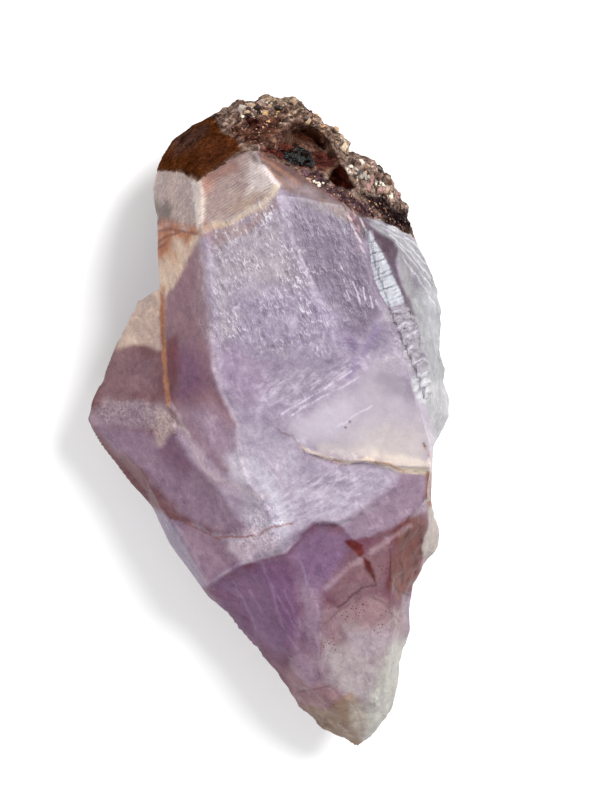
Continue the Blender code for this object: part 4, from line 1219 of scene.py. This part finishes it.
def grain_tint(tree, place, tint, dark, pale, where, size):
    """Grains that each have a tone of their own: every cell round a scattered point gets one random number,
    which picks a factor from Dark to Pale and raises the grain. A noise moves the place first, so no border
    is straight."""
    bent = noise_node(tree, place, 1.5, 2.0, output="Color")
    inputs = {0: bent, 1: (CELL_BENT * MM,) * 3, 2: place}
    place = add(tree, "ShaderNodeVectorMath", inputs, operation="MULTIPLY_ADD").outputs[0]
    cells = cells_node(tree, place, size)
    number = add(tree, "ShaderNodeSeparateColor", {"Color": cells["Color"]}).outputs[0]
    colour = times_colour(tree, tint, blend_colour(tree, number, dark, pale))
    height = maths(tree, "SUBTRACT", number, cells["Distance"])
    return blend_colour(tree, where, tint, colour), times(tree, height, where)


def fibres(tree, place, tint, pale, where):
    """White wisps in the quartz: noise stretched along one direction, and only its higher values kept."""
    along = turned_place(tree, place, FIBRES_ALONG, FIBRE_STRETCH)
    thread = ramp(tree, noise_node(tree, along, 1.1, 6.0, 0.68), 0.47, 0.70)
    return [blend_colour(tree, times(tree, thread, where), tint, pale)]


def hairlines(tree, place, tint, pale, where, size):
    """Hairlines of healed cracks, which multiply the tint by the Pale colour: the thin line where a
    stretched noise passes its middle value. Crowds let them come and go."""
    along = turned_place(tree, place, HAIRS_ALONG, HAIR_STRETCH)
    away = folded(tree, noise_node(tree, along, size, 2.0, 0.5, 0.15))
    line = ramp(tree, away, 0.002, 0.034, 1.0, 0.0)
    crowds = ramp(tree, noise_node(tree, place, 4.5, 2.0), 0.44, 0.60)
    share = times(tree, line, crowds, where)
    return [times_colour(tree, tint, blend_colour(tree, share, WHITE, pale))]


def specks(tree, place, tint, speck, where, size):
    """Small round specks in crowds, where the distance to the nearest of many scattered points is small."""
    dots = ramp(tree, cells_node(tree, place, size)["Distance"], 0.32, 0.18)
    crowds = ramp(tree, noise_node(tree, place, 4.0), 0.45, 0.60)
    return [blend_colour(tree, times(tree, dots, crowds, where), tint, speck)]


def fine_grain(tree, place, where, size):
    """Fine uneven grain: noise of a given size in millimetres, around zero."""
    grain = noise_node(tree, place, size, 4.0, 0.6)
    return [times(tree, maths(tree, "SUBTRACT", grain, 0.5), where)]


SOCKETS = (
    (wrinkled_skin, "Mask", "Height Crest Pit"),
    (ruled_lines, "Mask Turns", "Height"),
    (cloudy_tint, "Tint Dark Pale Size", "Color Value"),
    (grain_tint, "Tint Dark Pale Mask Size", "Color Height"),
    (fibres, "Tint Pale Mask", "Color"),
    (hairlines, "Tint Pale Mask Size", "Color"),
    (specks, "Tint Speck Mask Size", "Color"),
    (fine_grain, "Mask Size", "Height"),
)
EFFECTS = {}
for build, inputs, outputs in SOCKETS:
    EFFECTS[build.__name__] = as_group(build, inputs.split(), outputs.split())
print("effects:", ", ".join(EFFECTS))

# %% [markdown]
# A material reads the paint and the masks from the points. Three masks travel together as the red, green
# and blue of one attribute, because the renderer loses some when a mesh carries many. One Texture
# Coordinate node feeds all the effects of a material, because one for each would take room that a shader
# hasn't got.

# %% Material helpers
PACKS = {
    "skin": ("etched", "sparkling", "frosty"), "lines": ("ruled", "turns", "fibrous"),
    "stains": ("rusty", "glossy", "milky"),
}


def new_material(name):
    """A material whose Principled shader is ready to be fed. Gives the material, its tree and the
    shader."""
    material = bpy.data.materials.new(name)
    material.use_nodes = True
    tree = material.node_tree
    tree.nodes.new("ShaderNodeTexCoord")
    return material, tree, tree.nodes["Principled BSDF"]


def effect(tree, name, **values):
    """One of the groups, placed in a material with values of its own."""
    values["Place"] = tree.nodes["Texture Coordinate"].outputs["Object"]
    return feed(tree, add(tree, "ShaderNodeGroup", {}, node_tree=EFFECTS[name]), values).outputs


def attribute(tree, name):
    """The colour that each point carries under this name."""
    return add(tree, "ShaderNodeAttribute", {}, attribute_name=name).outputs["Color"]


def mask(tree, name):
    """One of the masks. The node that takes its pack apart is made once for each material."""
    pack = next(pack for pack, names in PACKS.items() if name in names)
    if pack not in tree.nodes:
        add(tree, "ShaderNodeSeparateColor", {"Color": attribute(tree, pack)}, name=pack)
    return tree.nodes[pack].outputs[PACKS[pack].index(name)]


def relief(tree, depth, *layers):
    """A Bump `depth` millimetres deep: the heights of these effects, each times its share, added up."""
    height = 0.0
    for made, share in layers:
        height = maths(tree, "MULTIPLY_ADD", made["Height"], share, height)
    inputs = {"Height": height, "Distance": depth * MM, "Strength": 1.0}
    return add(tree, "ShaderNodeBump", inputs).outputs["Normal"]


print("packs of masks:", ", ".join(PACKS))

# %% [markdown]
# The quartz is violet and half clear. Light goes into it and comes out again changed, so it has a share of
# transmission at quartz's own index of 1.544, a violet absorption that deepens with thickness, and a soft
# surface colour for the milky inclusions that throw light back. Its skin is satin all over and a little
# uneven, and a thin coat makes the etched face and the frosty facets glisten.

# %% Violet quartz
QUARTZ_CLEAR = 0.28
QUARTZ_INDEX = 1.544
QUARTZ_SHINE = 0.03
QUARTZ_INNER = (0.66, 0.50, 0.78, 1.0)
QUARTZ_DENSITY = 14.0
QUARTZ_ROUGHNESS, QUARTZ_UNEVEN = 0.24, 0.14
QUARTZ_GRAIN = dict(Mask=0.6, Size=1.4)
QUARTZ_RELIEF = 0.22
QUARTZ_HEIGHTS = (3.4, 0.35, 0.8, 0.25)
WET, WET_ROUGHNESS = 0.4, 0.25
QUARTZ_CLOUDS = (
    dict(Dark=(0.80, 0.76, 0.82, 1), Pale=(1.18, 1.18, 1.16, 1), Size=6.0),
    dict(Dark=(0.82, 0.78, 0.84, 1), Pale=(1.18, 1.19, 1.18, 1), Size=1.6),
    dict(Dark=(0.86, 0.84, 0.88, 1), Pale=(1.14, 1.15, 1.14, 1), Size=0.45),
)
MILKY_CALM = 0.75
HAIRS = dict(Pale=(1.9, 2.0, 1.9, 1), Size=3.4)
HAIR_SHARE = 0.25
FROST = dict(Dark=(0.74, 0.74, 0.76, 1), Pale=(1.32, 1.32, 1.34, 1), Size=0.55)
WISP_COLOUR, WISP_SHARE = (0.72, 0.66, 0.76, 1), 0.55
RUST_SPECKS = dict(Speck=(0.13, 0.04, 0.035, 1), Size=0.8)
# Painted light and shade: the growth lines lighten and darken the paint, the pits of the etched skin get
# painted shade, and its crests a painted highlight in the glint colour, stronger where the skin sparkles.
RULED_SHADE = 0.22
PIT_SHADE = -0.5
GLINT_COLOUR = (0.74, 0.70, 0.78, 1.0)
GLINT_SHARE, MORE_GLINT = 0.8, 0.6


def quartz_colour(tree, wrinkles, ruled):
    """The paint, with clouds of three sizes, hairlines, frost, wisps and specks over it one after another,
    with painted light and shade along the growth lines, painted shade in the pits of the skin and a painted
    highlight on its crests. Gives also the widest clouds and the frost, for other sockets."""
    tint = attribute(tree, "tint")
    cloudy, clouds = tint, []
    for layer in QUARTZ_CLOUDS:
        clouds.append(effect(tree, "cloudy_tint", Tint=cloudy, **layer))
        cloudy = clouds[-1]["Color"]
    calm = blend_colour(tree, times(tree, mask(tree, "milky"), MILKY_CALM), cloudy, tint)
    thin = maths(tree, "MULTIPLY_ADD", mask(tree, "milky"), -HAIR_SHARE, HAIR_SHARE)
    hairs = effect(tree, "hairlines", Tint=calm, Mask=thin, **HAIRS)
    frost = effect(tree, "grain_tint", Tint=hairs["Color"], Mask=mask(tree, "frosty"), **FROST)
    wispy = times(tree, mask(tree, "fibrous"), WISP_SHARE)
    wisps = effect(tree, "fibres", Tint=frost["Color"], Pale=WISP_COLOUR, Mask=wispy)
    rusty = effect(tree, "specks", Tint=wisps["Color"], Mask=mask(tree, "rusty"), **RUST_SPECKS)
    # painted shade along the growth lines and in the pits of the skin, then a painted highlight on its
    # crests
    shade = maths(tree, "MULTIPLY_ADD", ruled["Height"], RULED_SHADE, 1.0)
    pit = maths(tree, "MULTIPLY_ADD", wrinkles["Pit"], PIT_SHADE, 1.0)
    shaded = times_colour(tree, times_colour(tree, rusty["Color"], shade), pit)
    glint = maths(tree, "MULTIPLY_ADD", mask(tree, "sparkling"), MORE_GLINT, GLINT_SHARE)
    glint = times(tree, glint, wrinkles["Crest"])
    return blend_colour(tree, glint, shaded, GLINT_COLOUR), clouds[0], frost


def violet_quartz():
    """The Principled shader of the quartz: half clear, with an uneven satin skin, and absorption inside."""
    material, tree, shader = new_material("violet quartz")
    wrinkles = effect(tree, "wrinkled_skin", Mask=mask(tree, "etched"))
    ruled = effect(tree, "ruled_lines", Mask=mask(tree, "ruled"), Turns=mask(tree, "turns"))
    grain = effect(tree, "fine_grain", **QUARTZ_GRAIN)
    colour, clouds, frost = quartz_colour(tree, wrinkles, ruled)
    layers = zip((wrinkles, ruled, grain, frost), QUARTZ_HEIGHTS)
    wet = maths(tree, "MAXIMUM", mask(tree, "etched"), mask(tree, "frosty"))
    feed(tree, shader, {
        "Base Color": colour,
        "Normal": relief(tree, QUARTZ_RELIEF, *layers),
        "Roughness": maths(tree, "MULTIPLY_ADD", clouds["Value"], QUARTZ_UNEVEN, QUARTZ_ROUGHNESS),
        "IOR": QUARTZ_INDEX,
        "Specular IOR Level": QUARTZ_SHINE,
        "Coat Weight": times(tree, wet, WET),
        "Coat Roughness": WET_ROUGHNESS,
        "Transmission Weight": QUARTZ_CLEAR,
    })
    inside = {"Color": QUARTZ_INNER, "Density": QUARTZ_DENSITY}
    inner = add(tree, "ShaderNodeVolumeAbsorption", inside).outputs[0]
    feed(tree, tree.nodes["Material Output"], {"Volume": inner})
    return material


quartz_material = violet_quartz()
print("violet quartz:", len(quartz_material.node_tree.nodes), "nodes")

# %% [markdown]
# The ore is opaque. It is smooth and dark chocolate on the left facet, and elsewhere a rough crust of
# brown, tan and white grains. It gets no shine of its own, because rusty ore is dull, and a reflection of
# the white room would wash out its deep brown.

# %% Iron ore
ORE_CLOUDS = dict(Dark=(0.33, 0.28, 0.26, 1), Pale=(1.75, 1.68, 1.6, 1), Size=3.2)
ORE_GRAINS = dict(Dark=(0.34, 0.30, 0.28, 1), Pale=(1.8, 1.8, 1.8, 1), Size=1.1)
ORE_DUST = dict(Dark=(0.5, 0.48, 0.46, 1), Pale=(1.5, 1.52, 1.55, 1), Mask=1.0, Size=0.4)
ORE_ROUGHNESS, GLOSSY_ROUGHNESS = 0.55, 0.42
ORE_GRAIN = dict(Mask=0.4, Size=0.9)
ORE_RELIEF = 0.3
ORE_HEIGHTS = (1.0, 0.9, 0.2)
ORE_SHINE = 0.0


def iron_ore():
    """The paint, with clouds, grains and dust over it. The grains fade out where the facet is glossy."""
    material, tree, shader = new_material("iron ore")
    glossy = mask(tree, "glossy")
    coarse = maths(tree, "SUBTRACT", 1.0, glossy)
    clouds = effect(tree, "cloudy_tint", Tint=attribute(tree, "tint"), **ORE_CLOUDS)
    grainy = effect(tree, "grain_tint", Tint=clouds["Color"], Mask=coarse, **ORE_GRAINS)
    dust = effect(tree, "grain_tint", Tint=grainy["Color"], **ORE_DUST)
    grain = effect(tree, "fine_grain", **ORE_GRAIN)
    layers = zip((grain, grainy, dust), ORE_HEIGHTS)
    feed(tree, shader, {
        "Base Color": dust["Color"],
        "Normal": relief(tree, ORE_RELIEF, *layers),
        "Roughness": ramp(tree, glossy, 0.0, 1.0, ORE_ROUGHNESS, GLOSSY_ROUGHNESS),
        "Specular IOR Level": ORE_SHINE,
    })
    return material


ore_material = iron_ore()
print("iron ore:", len(ore_material.node_tree.nodes), "nodes")

# %% [markdown]
# The finished surface becomes one mesh, because the stone grew as one piece. Each triangle takes the ore or
# the quartz, whichever covers its middle, and the paint and the masks go with the points.

# %% The stone's own mesh
def mesh_object(name, places, triangles, materials):
    """An object at the origin with a mesh of these points, in millimetres, and triangles."""
    mesh = bpy.data.meshes.new(name)
    mesh.from_pydata((places * MM).tolist(), [], triangles.tolist())
    for material in materials:
        mesh.materials.append(material)
    print(name, len(triangles), "triangles")
    return put_in_scene(name, mesh)


def carry(mesh, name, values):
    """Three values for each point of a mesh, as the red, green and blue of an attribute."""
    colours = np.column_stack([values, np.ones(len(values))])
    layer = mesh.attributes.new(name, "FLOAT_COLOR", "POINT")
    layer.data.foreach_set("color", colours.astype(np.float32).ravel())


def make_smooth(mesh):
    """Shades the mesh as one round surface, without its triangles."""
    mesh.polygons.foreach_set("use_smooth", np.ones(len(mesh.polygons), dtype=bool))


def make_stone():
    """The shaped surface. A triangle is ore where the mean of its corners' crown is over a half."""
    stone = mesh_object("amethyst_crystal", shaped, faces, (quartz_material, ore_material))
    in_crown = crown[faces].mean(axis=1) > 0.5
    stone.data.polygons.foreach_set("material_index", in_crown.astype(np.int32))
    make_smooth(stone.data)
    carry(stone.data, "tint", tint)
    for pack, names in PACKS.items():
        carry(stone.data, pack, np.stack([masks[name] for name in names], axis=1))
    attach(stone, "root")
    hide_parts("amethyst_point")


make_stone()

# %% [markdown]
# The crust of the crown is sugary: hundreds of grains of quartz and ore stand out of it, white and tan at
# the top and gold along the border, and each catches the light by itself. They are real little solids, one
# dented ball of twenty triangles for each, more than half sunk in the crust. In the hollow sit black beads
# of hematite, which are round and glossy. Each kind has a count, its smallest and largest radius, its tones
# and an outline in pixels. Blender's particle system could scatter them, but a seeded choice among the
# crust's own points needs no hidden copies.

# %% Grains and beads
TONES = {
    "white": (208, 200, 184), "grey": (150, 140, 130), "tan": (160, 132, 106), "gold": (190, 146, 96),
    "rust": (104, 52, 36), "brown": (80, 54, 40), "dark": (34, 22, 18), "rose": (140, 104, 98),
}
GRAINS = {
    "pale cluster": (60, (0.45, 1.6), ("white", "grey", "tan", "brown", "grey", "dark"), [
        (229, 116), (236, 106), (246, 98), (270, 96), (276, 108), (256, 116), (242, 121)]),
    "peach spot": (3, (0.5, 0.75), ("gold",), [(265, 120), (271, 120), (271, 126), (265, 126)]),
    "sparkles": (10, (0.4, 0.85), ("white", "white", "tan"), [
        (302, 168), (312, 170), (322, 176), (330, 187), (318, 186), (306, 177)]),
    "white streak": (60, (0.4, 1.2), ("white", "grey", "rose", "grey", "dark"), [
        (346, 164), (362, 168), (382, 180), (392, 194), (378, 188), (360, 178), (348, 172)]),
    "top slope": (170, (0.25, 1.2), ("tan", "brown", "dark", "dark", "tan", "brown", "brown", "gold"), [
        (236, 104), (262, 92), (300, 92), (330, 112), (356, 142), (346, 152), (326, 134), (306, 122),
        (280, 118), (250, 120)]),
    "left slope": (110, (0.2, 0.55), ("brown", "rust", "dark", "tan", "rose"), [
        (222, 118), (250, 116), (284, 118), (280, 134), (262, 146), (248, 146), (236, 138)]),
    "shoulder": (100, (0.25, 1.4), ("white", "rose", "tan", "brown", "rose", "dark", "brown"), [
        (342, 136), (358, 142), (380, 158), (394, 174), (404, 200), (386, 198), (364, 190), (350, 168)]),
    "border": (130, (0.2, 0.5), ("gold", "tan", "rust", "brown", "dark", "rust"), [
        (300, 171), (320, 176), (346, 192), (366, 196), (386, 206), (392, 222), (374, 218), (356, 210),
        (334, 196), (316, 185)]),
    "dark shoulder": (110, (0.25, 0.6), ("dark", "brown", "rust", "dark", "dark"), [
        (362, 192), (392, 198), (408, 212), (416, 236), (396, 228), (376, 214)]),
}
BEADS = (120, (0.35, 0.80), [
    (276, 149), (290, 151), (300, 146), (312, 154), (315, 165), (300, 167), (286, 161)])
SUNK = 0.33
SCATTER_BORDER = (2.0, 2.0)
TOO_GLOSSY = 0.7
GRAIN_DENTS = 0.22
GRAIN_CLOUDS = dict(Dark=(0.7, 0.7, 0.7, 1), Pale=(1.3, 1.3, 1.3, 1), Size=0.8)
GRAIN_ROUGHNESS, GRAIN_SHINE = 0.4, 0.3
BEAD_COLOUR, BEAD_ROUGHNESS, BEAD_SHINE = (0.004, 0.0035, 0.004), 0.28, 0.14
GRAIN_SEED, BEAD_SEED = 11, 12


def ball(rounds):
    """An icosahedron of radius 1: its corners are (0, 1, golden ratio) with every sign and turn, and its
    triangles join the corners that are nearest to each other. Each round cuts them in four and pushes the
    points out again."""
    golden = (1.0 + math.sqrt(5.0)) / 2.0
    signs = itertools.product(range(3), (-1, 1), (-golden, golden))
    corners = np.array([np.roll((0.0, one, two), turn) for turn, one, two in signs])
    corners /= np.linalg.norm(corners[0])
    triples = np.array(list(itertools.combinations(range(12), 3)))
    sides = np.linalg.norm(corners[triples] - corners[np.roll(triples, 1, axis=1)], axis=2)
    triples = triples[(sides < 1.1).all(axis=1)]
    inward = np.linalg.det(corners[triples]) < 0.0
    triples[inward] = triples[inward][:, ::-1]
    for step in range(rounds):
        corners, triples, _ = halve_long_edges(corners, triples, lambda place: 0.0)
        corners /= np.linalg.norm(corners, axis=1, keepdims=True)
    return corners, triples


def scattered(rng, outline, count, sizes, rounds, dents):
    """Balls on the crust: random points of it inside the outline, each ball turned, squeezed and dented by
    chance, and its centre sunk by a third of its radius. Gives their points, triangles and number of points
    for each."""
    inside = patch(spots, points, outline, *SCATTER_BORDER, 61) * facing_up * crown > 0.5
    chosen = rng.choice(np.flatnonzero(inside & (masks["glossy"] < TOO_GLOSSY)), count)
    size = sizes[0] + (sizes[1] - sizes[0]) * rng.random(count) ** 2
    corners, triples = ball(rounds)
    turn = np.linalg.qr(rng.normal(size=(count, 3, 3)))[0]
    turn *= np.sign(np.linalg.det(turn))[:, None, None]
    shape = corners[None] * rng.uniform(1.0 - 2.0 * dents, 1.0, (count, 1, 3))
    shape = shape * (1.0 + dents * rng.uniform(-1.0, 1.0, (count, len(corners), 1)))
    centre = shaped[chosen] - SUNK * size[:, None] * normals[chosen]
    placed = centre[:, None] + size[:, None, None] * (shape @ turn)
    numbers = triples[None] + len(corners) * np.arange(count)[:, None, None]
    return placed.reshape(-1, 3).clip(LOW, HIGH), numbers.reshape(-1, 3), len(corners)


def grain_material():
    """The grain's own tone with small clouds in it, and a satin shine."""
    material, tree, shader = new_material("crust grains")
    clouds = effect(tree, "cloudy_tint", Tint=attribute(tree, "tint"), **GRAIN_CLOUDS)
    feed(tree, shader, {
        "Base Color": clouds["Color"], "Roughness": GRAIN_ROUGHNESS, "Specular IOR Level": GRAIN_SHINE})
    return material


def make_grains():
    """All kinds of grain in one piece. Each grain gets one of its kind's tones by chance."""
    rng = np.random.default_rng(GRAIN_SEED)
    places, triangles, tints, total = [], [], [], 0
    for count, sizes, tones, outline in GRAINS.values():
        spread, numbers, each = scattered(rng, outline, count, sizes, 0, GRAIN_DENTS)
        palette = linear([TONES[tone] for tone in tones])
        places.append(spread)
        triangles.append(numbers + total)
        tints.append(palette[rng.integers(len(tones), size=count)].repeat(each, 0))
        total += len(spread)
    materials = [grain_material()]
    piece = mesh_object("crust_grains", np.concatenate(places), np.concatenate(triangles), materials)
    carry(piece.data, "tint", np.concatenate(tints))
    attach(piece, "root")


def make_beads():
    """Round balls without dents, of polished black."""
    count, sizes, outline = BEADS
    places, triangles, _ = scattered(np.random.default_rng(BEAD_SEED), outline, count, sizes, 1, 0.0)
    materials = [plain_material("black hematite", BEAD_COLOUR, BEAD_ROUGHNESS, BEAD_SHINE)]
    piece = mesh_object("cave_beads", places, triangles, materials)
    make_smooth(piece.data)
    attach(piece, "root")


make_grains()
make_beads()

# %% [markdown]
# Last, the scene is brought up to date. Nothing may stand outside the CAD's box: every point was clipped to
# it above.

# %% Bring the scene up to date
bpy.context.view_layer.update()
